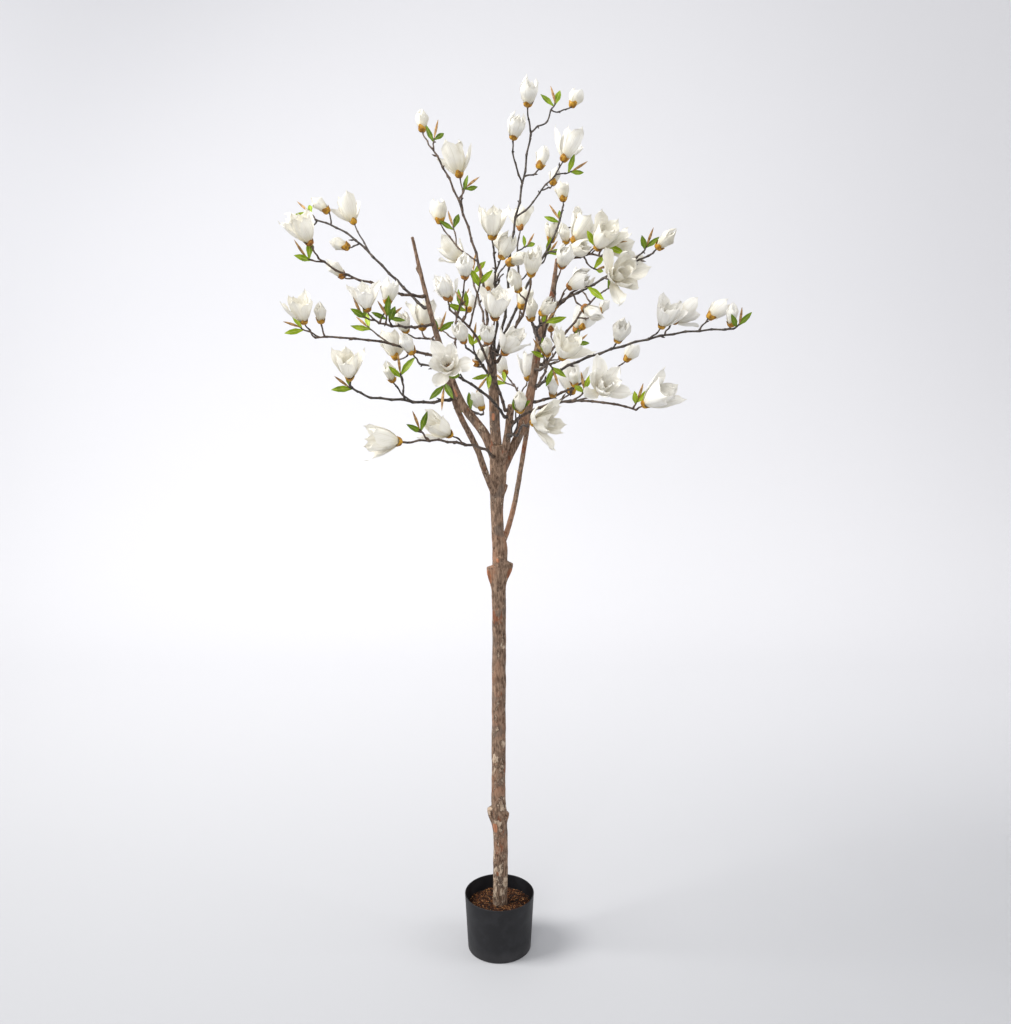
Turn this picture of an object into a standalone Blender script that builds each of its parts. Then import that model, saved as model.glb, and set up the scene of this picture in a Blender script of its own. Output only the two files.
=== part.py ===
"""An artificial magnolia tree: a real wooden trunk and boughs, set with blossoming plastic
sprays, standing in a plain nursery pot filled with coir.

The origin is under the middle of the pot, +Z is up and -Y is the front. The script runs in
metres; the plans of the limbs and the sprays below are written in centimetres and degrees.
"""
import math
import random

import bmesh
import bpy
import numpy as np
from mathutils import Vector
from mathutils.bvhtree import BVHTree

CM = 0.01
GAP = 0.0003

# Pot and filling
POT_HEIGHT = 0.148
POT_RIM_RADIUS = 0.0871
POT_FOOT_RADIUS = 0.0797
POT_WALL = 0.0024
POT_FLOOR = 0.003
POT_EDGE = 0.003
POT_SIDES = 44
FILL_LEVEL = 0.112
FILL_DOME = 0.006
FILL_LUMP = 0.0022
FILL_RINGS = 4
MERGE = 0.00001
SIMPLE_TRIES = (1.2, 1.4, 1.7, 2.1)

# Wood: how coarsely it is cut and how far its bark swells and sinks
TRUNK_SIDES = 12
BOUGH_SIDES = 8
RING_STEP = 0.04
SWELL = 0.045
KNOT_RISE = 0.35
KNOT_SIDES = 8
# Three waves of the bark: how strong, then its turns by height and by angle, and its start
BARK_WAVES = ((0.35, 37, 2, 1), (0.35, 61, -1, 2), (0.30, 113, 3, 3))

# Each limb's stations: x, y, z of its middle and its diameter there, in centimetres.
LIMBS = {
    "trunk": ((0.2, 0, 2.5, 3.9), (0.2, 0, 14, 3.7), (0.3, 0, 28, 3.6), (-0.1, 0, 36, 3.9),
              (-0.2, 0, 41, 3.5), (-0.1, 0, 66, 3.4), (0, 0, 86, 3.3), (-0.1, 0, 94, 3.4),
              (0.2, 0, 103, 3.6), (-0.3, 0, 108, 2.9), (-0.5, 0, 114, 3.1), (-0.2, 0, 121, 3.8),
              (-0.4, 0, 128.4, 3.4)),
    "bough_center": ((-0.5, 0, 126, 2.6), (-0.9, 0, 133, 2.4), (-1.2, 0, 140, 2.3),
                     (-1.9, 0, 151, 2.1)),
    "bough_right": ((0.2, 0.6, 121, 2.2), (2.4, 1.2, 126, 2.2), (5, 2, 131.4, 2.1),
                    (7.7, 4, 142, 1.9), (9.9, 6, 155, 1.5), (12.2, 7, 162, 1.2),
                    (13.5, 8.5, 171, 0.8)),
    "bough_left": ((-0.6, 0.8, 124, 2.3), (-3.3, 2, 130.6, 2.2), (-8.9, 4, 138, 2.0),
                   (-12.2, 5.5, 146, 1.7), (-14.7, 6, 154, 1.3), (-17, 6, 163, 1.0),
                   (-18.4, 6, 169, 0.9), (-19.9, 6, 175.7, 0.7)),
    "bough_left_thin": ((-0.4, -0.6, 115.4, 1.5), (-2.8, -2.6, 121.5, 1.5), (-5.0, -4, 128, 1.4),
                        (-9.1, -7, 137, 1.3), (-12, -10, 146.4, 1.1)),
    "bough_right_thin": ((0.2, 0.6, 103.5, 1.4), (2.4, 2.8, 109, 1.3), (4.3, 5, 117, 1.2),
                         (6.7, 9, 131, 1.1), (10.2, 16, 152, 1.0)),
    "bough_stub": ((0.2, -0.6, 123.5, 1.8), (1.6, -2.7, 128.5, 1.8), (2.8, -5, 138.1, 1.6)),
}

# Knots: the limb, the height and bearing they stand at, how far they reach and how thick
# they are. Bearings are degrees round the limb from +X.
KNOTS = (
    ("trunk", 98.6, 190, 1.9, 1.5), ("trunk", 99.6, -12, 2.0, 1.4),
    ("trunk", 101.5, 265, 0.7, 1.5), ("trunk", 37.2, 192, 1.5, 1.7),
    ("trunk", 36.0, -10, 0.9, 1.8), ("trunk", 78.0, 130, 0.7, 1.4),
    ("trunk", 118.5, 20, 0.9, 1.5), ("bough_left", 168.5, 200, 0.6, 0.7),
)

# Headings are degrees from upright towards +X, as seen from the front.
# A shoot: what it grows from (0 the stem, n the nth shoot), how far along that, its heading
# and length, what it ends in and where that end heads.
# A spray: its limb, the height of its foot, the tip of its stem (x, y, z), the headings it
# leaves and arrives with, then its shoots.
SPRAYS = {
    "spray_top": ("bough_center", 150, (7, -3, 197), 8, 10, (
        (0, 1.00, 38, 9, "leaf", 0), (1, 0.75, 70, 5, "half", 25), (0, 1.00, -10, 4.5, "half", 5),
        (0, 0.79, -15, 8.5, "half", 15), (0, 0.82, 60, 4, "bud", 15), (0, 0.65, 40, 16.5, "open", 20),
        (6, 0.80, 75, 4, "leaf", 60), (6, 0.50, 60, 3, "bud", 15))),
    "spray_high_right": ("bough_center", 149, (15, 14, 183), 5, 10, (
        (0, 1.00, 10, 1.5, "half", -5), (0, 0.57, 30, 9, "half", 5), (0, 0.71, 70, 5, "bud", -15),
        (0, 0.87, 75, 5.5, "bud", -5), (0, 0.68, 50, 2, "leaf", 40), (0, 0.90, 10, 1, "leaf", -25))),
    "spray_right_tip": ("bough_right", 170, (23, 0, 171), 65, 110, (
        (0, 1.00, 55, 2, "open", 70), (0, 0.05, 30, 5, "open", 35), (0, 0.15, 10, 2, "half", 80),
        (0, 0.68, 65, 2, "open", 30), (0, 0.72, 30, 3, "leaf", 10), (0, 0.95, 30, 3, "leaf", 85),
        (0, 0.60, 130, 4.5, "leaf", 70))),
    "spray_right_long": ("bough_right", 160, (33, -12, 171), 50, 60, (
        (0, 1.00, 35, 1, "bud", 45), (0, 0.58, 110, 1.5, "wide", 60), (0, 0.80, 40, 4.5, "leaf", 15),
        (0, 0.74, 105, 2.5, "bud", 30))),
    "spray_right_mid": ("bough_right", 150, (18, -10, 164), 0, 65, (
        (0, 1.00, 90, 1.5, "leaf", 85), (0, 0.63, 25, 4.5, "half", 60), (0, 0.47, 10, 10.5, "half", 15),
        (0, 0.87, 145, 3.5, "bud", 120))),
    "spray_right_rear": ("bough_right_thin", 146.5, (26, 24, 164), 40, 55, (
        (0, 1.00, 60, 2, "leaf", 45), (0, 0.62, 80, 5.5, "bud", 40), (0, 0.38, 70, 5.5, "bud", 15),
        (0, 0.83, -30, 4.5, "half", -5))),
    "spray_mid_cross": ("bough_center", 147.5, (7, -10, 165), 35, 10, (
        (0, 1.00, 0, 1, "half", 5), (0, 0.81, -45, 2.5, "bud", -20), (0, 0.51, 15, 4, "half", 20))),
    "spray_mid": ("bough_center", 146, (-1, -14, 156), 0, 20, (
        (0, 0.94, 15, 1.5, "open", 5), (0, 0.50, 115, 3, "open", 30), (0, 0.30, 190, 4, "leaf", 220))),
    "spray_front_left": ("bough_stub", 137, (-10, -20, 159), -10, -50, (
        (0, 1.00, -10, 2, "half", -15), (0, 0.93, 15, 7.5, "half", 0), (0, 0.80, 15, 9.5, "leaf", 10),
        (0, 0.87, 15, 3, "leaf", -45), (0, 0.64, 80, 1.5, "half", 0))),
    "spray_left_near": ("bough_center", 144, (-7, -12, 151), -25, -60, (
        (0, 1.00, -15, 1, "half", -20), (0, 0.60, -15, 3.5, "leaf", 10), (0, 0.40, -90, 2, "bud", 35))),
    "spray_left_band": ("bough_stub", 135.5, (-16, -24, 148), -30, -85, (
        (0, 1.00, -30, 2.5, "bud", -25), (0, 0.73, -15, 1, "wide", -10), (0, 0.59, -30, 2, "leaf", -55),
        (0, 0.81, 175, 3.5, "leaf", 200))),
    "spray_left_rear": ("bough_left", 152, (-18, 12, 153), -60, -70, (
        (0, 1.00, -20, 1.5, "open", 5), (0, 0.60, -75, 5, "half", -15), (0, 0.45, 40, 3, "leaf", 30))),
    "spray_left_reach": ("bough_left", 149, (-41, -4, 153), -80, -100, (
        (0, 1.00, -30, 3.5, "open", -10), (0, 0.93, -10, 3, "bud", 0), (0, 0.97, -60, 4.5, "leaf", -55),
        (0, 0.44, -55, 6.5, "leaf", -50), (0, 0.25, -120, 5, "open", -10))),
    "spray_left_full": ("bough_left", 156, (-26, -18, 157), -100, -50, (
        (0, 1.00, -35, 2, "open", -5), (0, 0.90, 20, 4, "half", 10), (0, 0.80, 10, 2, "leaf", -15),
        (0, 1.00, -70, 2.5, "leaf", -25), (0, 0.71, -10, 2, "leaf", 50))),
    "spray_left_high": ("bough_left", 160, (-43, 12, 180), -50, -75, (
        (0, 1.00, -40, 2.5, "leaf", -50), (0, 0.57, -30, 8, "open", -25), (0, 0.66, -105, 3, "bud", -70),
        (0, 0.89, -10, 3, "bud", -50), (0, 0.99, -120, 3.5, "half", -65))),
    "spray_left_arm": ("bough_left", 162.5, (-39, -8, 170), -85, -55, (
        (0, 1.00, -25, 3, "open", -20), (0, 0.69, -90, 2, "bud", -45), (0, 0.96, -80, 3, "leaf", -45))),
    "spray_left_wide": ("bough_left_thin", 140, (-30, -28, 144), -80, -35, (
        (0, 1.00, 10, 1, "open", 0), (0, 0.40, -40, 5.5, "bud", -15), (0, 0.46, -5, 6, "leaf", -10),
        (0, 0.90, -55, 2, "leaf", -60))),
    "spray_left_low": ("trunk", 126, (-18, -34, 133), -20, -90, (
        (0, 1.00, -75, 1, "open", -85), (0, 0.81, -35, 3, "leaf", -20), (0, 0.45, -50, 3.5, "open", -55))),
    "spray_low_rear": ("bough_left", 135.5, (-4, 16, 134), 60, 100, (
        (0, 1.00, 0, 1, "half", -30), (0, 0.75, -65, 2.5, "leaf", -45))),
    "spray_high_left": ("bough_center", 150.6, (-15, 6, 195), 12, -32, (
        (0, 1.00, -30, 5, "bud", -5), (0, 0.99, 0, 3, "leaf", 15), (0, 0.74, 30, 3.5, "leaf", 35),
        (0, 0.69, -5, 8, "open", -15), (0, 0.47, -45, 12.5, "half", -10),
        (5, 0.50, -10, 4.5, "leaf", -25))),
    "spray_high_mid": ("bough_center", 148.5, (-1, -14, 172), 5, -10, (
        (0, 1.00, -10, 1.5, "open", 0), (0, 0.80, 25, 3, "half", 25), (0, 0.64, 25, 4, "leaf", 95),
        (0, 0.68, 25, 5.5, "bud", 65))),
    "spray_high_rear": ("bough_center", 147, (-7, 24, 168), -10, -20, (
        (0, 1.00, -35, 4, "open", -45), (0, 0.70, 35, 3, "half", 15), (0, 0.90, -5, 3, "leaf", 10))),
    "spray_far_right": ("bough_right", 142, (52, -6, 155), 45, 88, (
        (0, 1.00, 45, 1.5, "leaf", 5), (0, 0.96, 70, 1.5, "bud", 0), (0, 0.45, 35, 2, "half", 15),
        (0, 0.63, 40, 3, "open", 20), (0, 0.70, 35, 3.5, "open", 60), (0, 0.85, 40, 3.5, "half", 50))),
    "spray_low_right": ("bough_stub", 134.5, (28, -28, 139), 35, 110, (
        (0, 1.00, 50, 1.5, "open", 50), (0, 0.98, 20, 2, "leaf", 10), (0, 0.55, 40, 3.5, "leaf", -15),
        (0, 0.41, 50, 6, "bud", 0), (0, 0.49, 70, 7.5, "wide", 25))),
    "spray_right_low_rear": ("bough_right", 138.5, (27, 14, 145), 85, 70, (
        (0, 1.00, 65, 4.5, "half", 35), (0, 0.45, 120, 2, "open", 0), (0, 0.20, 70, 1, "bud", 0))),
    "spray_low_front": ("bough_stub", 131.5, (6, -20, 135), 70, 55, (
        (0, 1.00, 55, 1, "wide", 80), (0, 0.30, 15, 5.5, "bud", 0), (0, 0.20, 10, 6.5, "leaf", 10))),
    "spray_right_near": ("bough_right", 145.5, (12, -14, 148), 65, 50, (
        (0, 1.00, 70, 1.5, "wide", 25), (0, 0.58, 10, 2, "bud", -5), (0, 0.48, -10, 3, "leaf", -30),
        (0, 0.79, 150, 1.5, "leaf", 170))),
    "spray_right_up": ("bough_right", 152.5, (9, -8, 157), -25, 20, (
        (0, 1.00, 0, 1, "half", 45), (0, 0.60, -50, 2, "bud", 0), (0, 0.86, 75, 1.5, "leaf", 50))),
    "spray_rear_high": ("bough_right_thin", 151.5, (5, 38, 178), -10, 15, (
        (0, 1.00, 10, 2, "open", 0), (0, 0.75, -45, 5, "half", -20), (0, 0.60, 40, 5, "bud", 20),
        (0, 0.88, 60, 3, "leaf", 40))),
    "spray_rear_left": ("bough_left", 144, (-12, 38, 160), -20, -30, (
        (0, 1.00, -30, 2, "open", -20), (0, 0.70, 35, 5, "half", 15), (0, 0.55, -60, 4, "bud", -30),
        (0, 0.90, 30, 3, "leaf", 20))),
    "spray_rear_right": ("bough_right_thin", 141, (19, 38, 152), 30, 60, (
        (0, 1.00, 30, 2, "open", 30), (0, 0.70, -20, 5, "half", 0), (0, 0.50, 80, 4, "bud", 50),
        (0, 0.88, 90, 3, "leaf", 60))),
    "spray_rear_low": ("bough_right_thin", 133, (3, 36, 141), 10, -30, (
        (0, 1.00, -40, 2, "half", -30), (0, 0.65, 30, 4, "open", 10), (0, 0.85, -70, 3, "leaf", -50))),
}

# Stems and shoots
STEM_RADIUS = 0.0040
STEM_TIP_RADIUS = 0.0024
SHOOT_RADIUS = 0.0025
SHOOT_TIP_RADIUS = 0.0018
SHOOT_SHARE = 0.95
FOOT_LENGTH = 0.007
FOOT_FLARE = 1.15
FOOT_PROBES = 4
PROBE_FROM = 0.05
LEAVE_PULL = 0.25
ARRIVE_PULL = 0.35
SWAY = 0.03
SWAY_MOST = 0.004
BEND_MOST = 50
CLEAR = 0.0015
BALL_STEP = 0.007
TWIG_STEP = 0.038
STEM_SIDES = 4
SHOOT_SIDES = 3
STEM_SHIFTS = (0, 2, -2, 4, -4, 6, -6, 8, -8)
LEAN_TRIES = (1, 0.5, -1, -0.5, 0, 1.3, -1.3, 1.6, -1.6, 2, -2)
DEPTH_MOST = 0.06
OUTWARD_LEAN = (22, 50)
MIDDLE_DEPTH = 0.04
BLOSSOM_LEAN = 0.6
WIDE_LEAN = 1.2
OWN_SHARE = 0.4

# Blossoms: length and half width of each kind, then its two whorls of three petals, each
# with its length as a share and the angles from the axis that its petals start and end at.
BLOSSOMS = {
    "bud": (0.054, 0.0130, ((1.0, 24, -18), (0.95, 18, -20))),
    "half": (0.066, 0.0200, ((1.0, 34, -10), (0.95, 26, -16))),
    "open": (0.080, 0.034, ((1.0, 52, 8), (0.93, 40, -10))),
    "wide": (0.080, 0.045, ((1.0, 72, 30), (0.92, 54, 6))),
}
OPEN_KINDS = ("open", "wide")
WHORL_PETALS = 3
BLOSSOM_SPREAD = 0.08
PETAL_WIDTH = 0.28
PETAL_ROOT = 0.004
PETAL_STEPS = 8
BELLY = 0.45
NOTCH = 0.66
NOTCH_OUT = 0.93
CUP_INSIDE = 0.72
CUP_DEPTH = 0.018
FOOT_SHARE = 0.6
# Rings of a bud and of a half-open blossom, as shares of its half width and its length
BUD_RINGS = ((0.76, 0.25), (1.0, 0.57), (0.64, 0.82))
HALF_RINGS = ((0.66, 0.2), (1.0, 0.6))
HALF_TIP = (0.62, 1.0)
HALF_NOTCH = (0.9, 0.8)
HALF_HOLLOW = 0.72
# Balls that cover a closed blossom and a petal: how far along, then how wide as a share
CLOSED_BALLS = ((0.15, 0.75), (0.4, 1.0), (0.65, 1.0), (0.9, 0.7))
PETAL_BALLS = ((0.3, 0.75), (0.6, 0.95), (0.9, 0.6))
BLOSSOM_SINK = 0.002
CALYX_RADIUS = 0.0075
CALYX_LENGTH = 0.014

# Leaves: a fan is two green leaves and a furled brown one between them
LEAF_LENGTH = 0.053
LEAF_HALF_WIDTH = 0.0076
LEAF_THICK = 0.0012
LEAF_SINK = 0.002
LEAF_SPREAD = 38
LEAF_STEP = 0.005
LEAF_WIDEST = 0.45
LEAF_SIZES = (0.75, 1.1)
LEAF_SWING = (0.8, 1.1)
LEAF_ROLL = (5, 25)
LEAF_BALLS = ((0.35, 0.85), (0.6, 1.0), (0.9, 0.5))
FAN_TURN = 12
FURL_LENGTH = 0.042
FURL_RADIUS = 0.0028
FURL_SIZES = (0.8, 1.1)
SHARP_ANGLE = 40

COLORS = {
    "wood": (0.18, 0.12, 0.085), "pot": (0.012, 0.012, 0.014), "filling": (0.13, 0.055, 0.02),
    "spray": (0.62, 0.60, 0.52),
}
ROUGHNESS = {"wood": 0.85, "pot": 0.45, "filling": 0.95, "spray": 0.7}


# Limbs

def smooth(stations, t):
    """A point at t, from 0 to 1, on the smooth curve through the stations."""
    last = len(stations) - 1
    k = min(int(t * last), last - 1)
    u = t * last - k
    before = stations[max(k - 1, 0)]
    after = stations[min(k + 2, last)]
    a, b = stations[k], stations[k + 1]
    return 0.5 * (2 * a + (b - before) * u + (2 * before - 5 * a + 4 * b - after) * u * u
                  + (3 * a - before - 3 * b + after) * u ** 3)


def stations_of(limb):
    return [np.array(row, float) * CM for row in LIMBS[limb]]


def limb_at(limb, t):
    """The middle of a limb and its radius at t."""
    x, y, z, width = smooth(stations_of(limb), t)
    return Vector((x, y, z)), width / 2


def limb_near(limb, height):
    """The middle, the direction and the radius of a limb at a height."""
    low, high = 0.0, 1.0
    for _ in range(30):
        mid = (low + high) / 2
        if limb_at(limb, mid)[0].z < height:
            low = mid
        else:
            high = mid
    here, radius = limb_at(limb, low)
    along = limb_at(limb, min(low + 0.01, 1))[0] - limb_at(limb, max(low - 0.01, 0))[0]
    return here, along.normalized(), radius


def limb_length(limb):
    first, last = stations_of(limb)[0], stations_of(limb)[-1]
    return float(np.linalg.norm((last - first)[:3]))


# Directions and curves

def toward(heading, lean=0.0):
    """The unit direction of a heading, leaning to the back by an angle."""
    turn = math.radians(heading)
    return Vector((math.sin(turn), math.tan(math.radians(lean)), math.cos(turn))).normalized()


def across(direction):
    """Two unit directions square to the given one and to each other."""
    guide = Vector((0, 1, 0)) if abs(direction.y) < 0.8 else Vector((1, 0, 0))
    side = direction.cross(guide).normalized()
    return side, direction.cross(side)


class Twig:
    """A stem or a shoot: a curve with a slight sway, tapering to its tip."""

    def __init__(self, handles, thick, thin, rng):
        self.handles = handles
        self.length = (handles[3] - handles[0]).length
        self.thick, self.thin = thick, thin
        reach = min(SWAY * self.length, SWAY_MOST)
        self.sway = [Vector([rng.uniform(-reach, reach) for _ in range(3)]) for _ in range(2)]

    def at(self, t):
        a, b, c, d = self.handles
        s = 1 - t
        swing = self.sway[0] * math.sin(2 * math.pi * t) + self.sway[1] * math.sin(3 * math.pi * t)
        curve = a * s ** 3 + b * 3 * s * s * t + c * 3 * s * t * t + d * t ** 3
        return curve + swing * math.sin(math.pi * t)

    def along(self, t):
        return (self.at(min(t + 0.02, 1)) - self.at(max(t - 0.02, 0))).normalized()

    def radius(self, t):
        return self.thick + (self.thin - self.thick) * t

    def balls(self, skip=0.0):
        """Balls that cover the twig, beyond a first length that is left out."""
        count = max(int(self.length / BALL_STEP), 2)
        steps = [k / count for k in range(count + 1) if k / count * self.length >= skip]
        return [(*self.at(t), self.radius(t) + CLEAR) for t in steps]


class Blossom:
    """A blossom of one kind: where its foot is, where it faces and how it is turned."""

    def __init__(self, kind, foot, facing, rng):
        self.kind, self.foot, self.facing = kind, foot, facing
        length, half_width, self.whorls = BLOSSOMS[kind]
        self.size = 1 + rng.uniform(-BLOSSOM_SPREAD, BLOSSOM_SPREAD)
        self.length, self.half_width = length * self.size, half_width * self.size
        self.turn = rng.uniform(0, 2 * math.pi)
        self.side, self.back = across(facing)

    def place(self, out, height, bearing):
        """The point at a height on the axis, out from it on a bearing."""
        ray = self.side * math.cos(bearing) + self.back * math.sin(bearing)
        return self.foot + self.facing * height + ray * out

    def petals(self):
        """The bearing, the length and the start and end angles of each petal."""
        rows = []
        for n in range(2 * WHORL_PETALS):
            share, start, end = self.whorls[n % 2]
            bearing = self.turn + math.pi * n / WHORL_PETALS
            rows.append((bearing, self.length * share, math.radians(start), math.radians(end)))
        return rows

    def petal_line(self, petal, s):
        """How far out and how high a petal's middle is at s, from 0 to 1."""
        _, length, start, end = petal
        out, height = PETAL_ROOT, CALYX_LENGTH / 2
        step = length * s / PETAL_STEPS
        for k in range(PETAL_STEPS):
            angle = start + (end - start) * s * (k + 0.5) / PETAL_STEPS
            out += step * math.sin(angle)
            height += step * math.cos(angle)
        return out, height

    def balls(self):
        """Balls that cover the blossom."""
        if self.kind not in OPEN_KINDS:
            return [(*(self.foot + self.facing * self.length * h), self.half_width * w + CLEAR)
                    for h, w in CLOSED_BALLS]
        rows = [(*self.foot, CALYX_RADIUS + CLEAR)]
        for petal in self.petals():
            for s, w in PETAL_BALLS:
                out, height = self.petal_line(petal, s)
                width = PETAL_WIDTH * petal[1] * w
                rows.append((*self.place(out, height, petal[0]), width + CLEAR))
        return rows


class Leaf:
    """A green leaf or a furled brown one, from its foot to its tip."""

    def __init__(self, foot, facing, length, half_width, kind):
        self.foot, self.facing, self.kind = foot, facing, kind
        self.length, self.half_width = length, half_width

    def balls(self):
        return [(*(self.foot + self.facing * self.length * h), self.half_width * w + CLEAR)
                for h, w in LEAF_BALLS]


# The rule that the sprays grow by

def free(balls, taken):
    """True where none of the balls comes near any that is taken."""
    if not balls or not len(taken):
        return True
    mine = np.array(balls)
    apart = np.linalg.norm(mine[:, None, :3] - taken[None, :, :3], axis=2)
    return bool((apart > mine[:, None, 3] + taken[None, :, 3]).all())


def limb_balls(limb):
    count = int(limb_length(limb) / BALL_STEP)
    rows = []
    for k in range(count + 1):
        here, radius = limb_at(limb, k / count)
        rows.append((*here, radius * (1 + SWELL)))
    return rows


def knot_balls():
    rows = []
    for limb, height, bearing, reach, width in KNOTS:
        middle, _, radius = limb_near(limb, height * CM)
        turn = math.radians(bearing)
        for share in (0.4, 1.0):
            far = radius + reach * CM * share
            rows.append((middle.x + far * math.cos(turn), middle.y + far * math.sin(turn),
                         middle.z + reach * CM * 0.5 * share, width * CM / 2))
    return rows


def wood_under(limb, middle, square):
    """How far from a limb's middle its skin stands anywhere under the foot of a stem."""
    skin = BVHTree.FromPolygons(*limb_skin(limb))
    side, back = across(square)
    step = STEM_RADIUS * FOOT_FLARE / FOOT_PROBES
    farthest = 0
    for a in range(-FOOT_PROBES, FOOT_PROBES + 1):
        for b in range(abs(a) - FOOT_PROBES, FOOT_PROBES - abs(a) + 1):
            origin = middle + square * PROBE_FROM + (side * a + back * b) * step
            hit = skin.ray_cast(origin, -square)
            if hit[0] is not None:
                farthest = max(farthest, PROBE_FROM - hit[3])
    return farthest


def spray_stem(row, shift, rng):
    """The stem of a spray, its foot square on its limb, bowed to the back by a shift."""
    limb, foot, tip, leave, arrive, _ = row
    middle, along, _ = limb_near(limb, foot * CM)
    end = Vector(tip) * CM
    out = end - middle
    square = (out - along * out.dot(along)).normalized()
    start = middle + square * (wood_under(limb, middle, square) + GAP)
    first = start + square * FOOT_LENGTH
    span = math.hypot(end.x - first.x, end.z - first.z)
    bow = Vector((0, shift * CM, 0))
    third = Vector((0, (end.y - first.y) / 3, 0))
    leaving = first + toward(leave) * span * LEAVE_PULL + third + bow
    arriving = end - toward(arrive) * span * ARRIVE_PULL - third + bow
    stem = Twig((first, leaving, arriving, end), STEM_RADIUS, STEM_TIP_RADIUS, rng)
    return stem, start, square


def shoot_twig(parent, row, lean, rng):
    """A shoot: a curve from its parent that turns to where its end heads."""
    _, along, heading, length, _, facing = row
    start = parent.at(along)
    bend = max(-BEND_MOST, min(BEND_MOST, heading - facing))
    aim = toward(heading, lean)
    end = start + aim * length * CM / math.cos(math.radians(lean))
    pull = (end - start).length / 3
    handles = (start, start + toward(heading + bend / 2, lean) * pull,
               end - toward(heading - bend / 2, lean) * pull, end)
    thick = min(SHOOT_RADIUS, parent.radius(along) * SHOOT_SHARE)
    return Twig(handles, thick, SHOOT_TIP_RADIUS, rng)


def leaf_fan(twig, heading, lean, rng):
    """Two green leaves spread to the sides and a furled one at the tip between them."""
    turn = rng.uniform(-FAN_TURN, FAN_TURN)
    rows = []
    for side, before in ((-1, 2 * LEAF_STEP), (1, LEAF_STEP)):
        foot = twig.at(max(1 - before / twig.length, 0.3))
        aim = toward(heading + turn + side * rng.uniform(*LEAF_SWING) * LEAF_SPREAD,
                     lean + side * rng.uniform(*LEAF_ROLL))
        size = rng.uniform(*LEAF_SIZES)
        rows.append(Leaf(foot, aim, LEAF_LENGTH * size, LEAF_HALF_WIDTH * size, "green"))
    long = FURL_LENGTH * rng.uniform(*FURL_SIZES)
    rows.append(Leaf(twig.at(1), toward(heading + turn, lean), long, FURL_RADIUS, "furled"))
    return rows


def outward(place, rng):
    """A lean to the outside of the crown, front or back."""
    side = -1 if place.y < 0 else 1
    if abs(place.y) < MIDDLE_DEPTH:
        side = rng.choice((-1, 1))
    return side * rng.uniform(*OUTWARD_LEAN)


def grow_shoot(spray, row, taken, rng):
    """Adds a shoot and its end to a spray at the first lean that is free, or skips it."""
    parent = spray["twigs"][row[0]]
    kind, facing = row[4:]
    draw = rng.random()
    if parent is None:
        spray["twigs"].append(None)
        return
    most = math.degrees(math.atan2(DEPTH_MOST, row[3] * CM))
    first = outward(parent.at(row[1]), rng)
    near = np.array(spray["balls"])
    for share in LEAN_TRIES:
        steady = random.Random(draw)
        lean = max(-most, min(most, first * share))
        twig = shoot_twig(parent, row, lean, steady)
        lean = first * share * (WIDE_LEAN if kind == "wide" else BLOSSOM_LEAN)
        aim = toward(facing, lean)
        parts = [] if kind == "leaf" else [Blossom(kind, twig.at(1), aim, steady)]
        balls = [ball for part in parts for ball in part.balls()]
        tight = [(x, y, z, r * OWN_SHARE) for x, y, z, r in balls]
        if free(twig.balls() + balls, taken) and free(tight, near):
            break
    else:
        spray["twigs"].append(None)
        return
    leaves = leaf_fan(twig, facing, lean, steady) if kind == "leaf" else []
    leaves = [leaf for leaf in leaves if free(leaf.balls(), taken)]
    spray["twigs"].append(twig)
    spray["blossoms"] += parts
    spray["leaves"] += leaves
    spray["balls"] += twig.balls() + balls + [ball for leaf in leaves for ball in leaf.balls()]


def grow_spray(name, taken):
    """A spray's twigs, blossoms and leaves, grown from its row of the plan."""
    row = SPRAYS[name]
    own = limb_balls(row[0])
    for shift in STEM_SHIFTS:
        rng = random.Random(name)
        stem, start, square = spray_stem(row, shift, rng)
        others = np.array([ball for key, rows in taken.items() if key != row[0] for ball in rows])
        if free(stem.balls(), others) and free(stem.balls(0.02), np.array(own)):
            break
    spray = {"start": start, "square": square, "twigs": [stem], "blossoms": [], "leaves": [],
             "balls": stem.balls()}
    everything = np.array([ball for rows in taken.values() for ball in rows])
    for shoot in row[5]:
        grow_shoot(spray, shoot, everything, rng)
    spray["twigs"] = [twig for twig in spray["twigs"] if twig is not None]
    return spray


def grow_crown():
    """Every spray of the plan, each clear of the wood and of those before it."""
    taken = {limb: limb_balls(limb) for limb in LIMBS}
    taken["knots"] = knot_balls()
    crown = {}
    for name in SPRAYS:
        crown[name] = grow_spray(name, taken)
        taken[name] = crown[name]["balls"]
    return crown


# Skins

def loft(rings, tip=None):
    """Points and faces of a closed skin over rings, with flat ends or a pointed tip."""
    sides = len(rings[0])
    verts = [point for ring in rings for point in ring]
    faces = [tuple(reversed(range(sides)))]
    for k in range(len(rings) - 1):
        for n in range(sides):
            a, b = k * sides + n, k * sides + (n + 1) % sides
            faces.append((a, b, b + sides, a + sides))
    top = (len(rings) - 1) * sides
    if tip is None:
        faces.append(tuple(range(top, top + sides)))
    else:
        verts.append(tip)
        faces += [(top + n, top + (n + 1) % sides, len(verts) - 1) for n in range(sides)]
    return verts, faces


def ring(middle, direction, radius, sides, turn=0.0):
    """A ring of points round a direction, counted so that a loft along it faces out."""
    side, back = across(direction)
    spokes = [turn + 2 * math.pi * n / sides for n in range(sides)]
    return [middle + side * radius * math.cos(a) + back * radius * math.sin(a) for a in spokes]


def steady_rings(middles, radii, sides):
    """Rings along a line of middles, with no twist from one to the next."""
    rings = []
    side = None
    for k, middle in enumerate(middles):
        ahead = middles[min(k + 1, len(middles) - 1)] - middles[max(k - 1, 0)]
        ahead = ahead.normalized()
        side = across(ahead)[0] if side is None else (side - ahead * side.dot(ahead)).normalized()
        back = ahead.cross(side)
        row = []
        for n in range(sides):
            angle = 2 * math.pi * n / sides
            row.append(middle + (side * math.cos(angle) + back * math.sin(angle)) * radii(k, angle))
        rings.append(row)
    return rings


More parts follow.
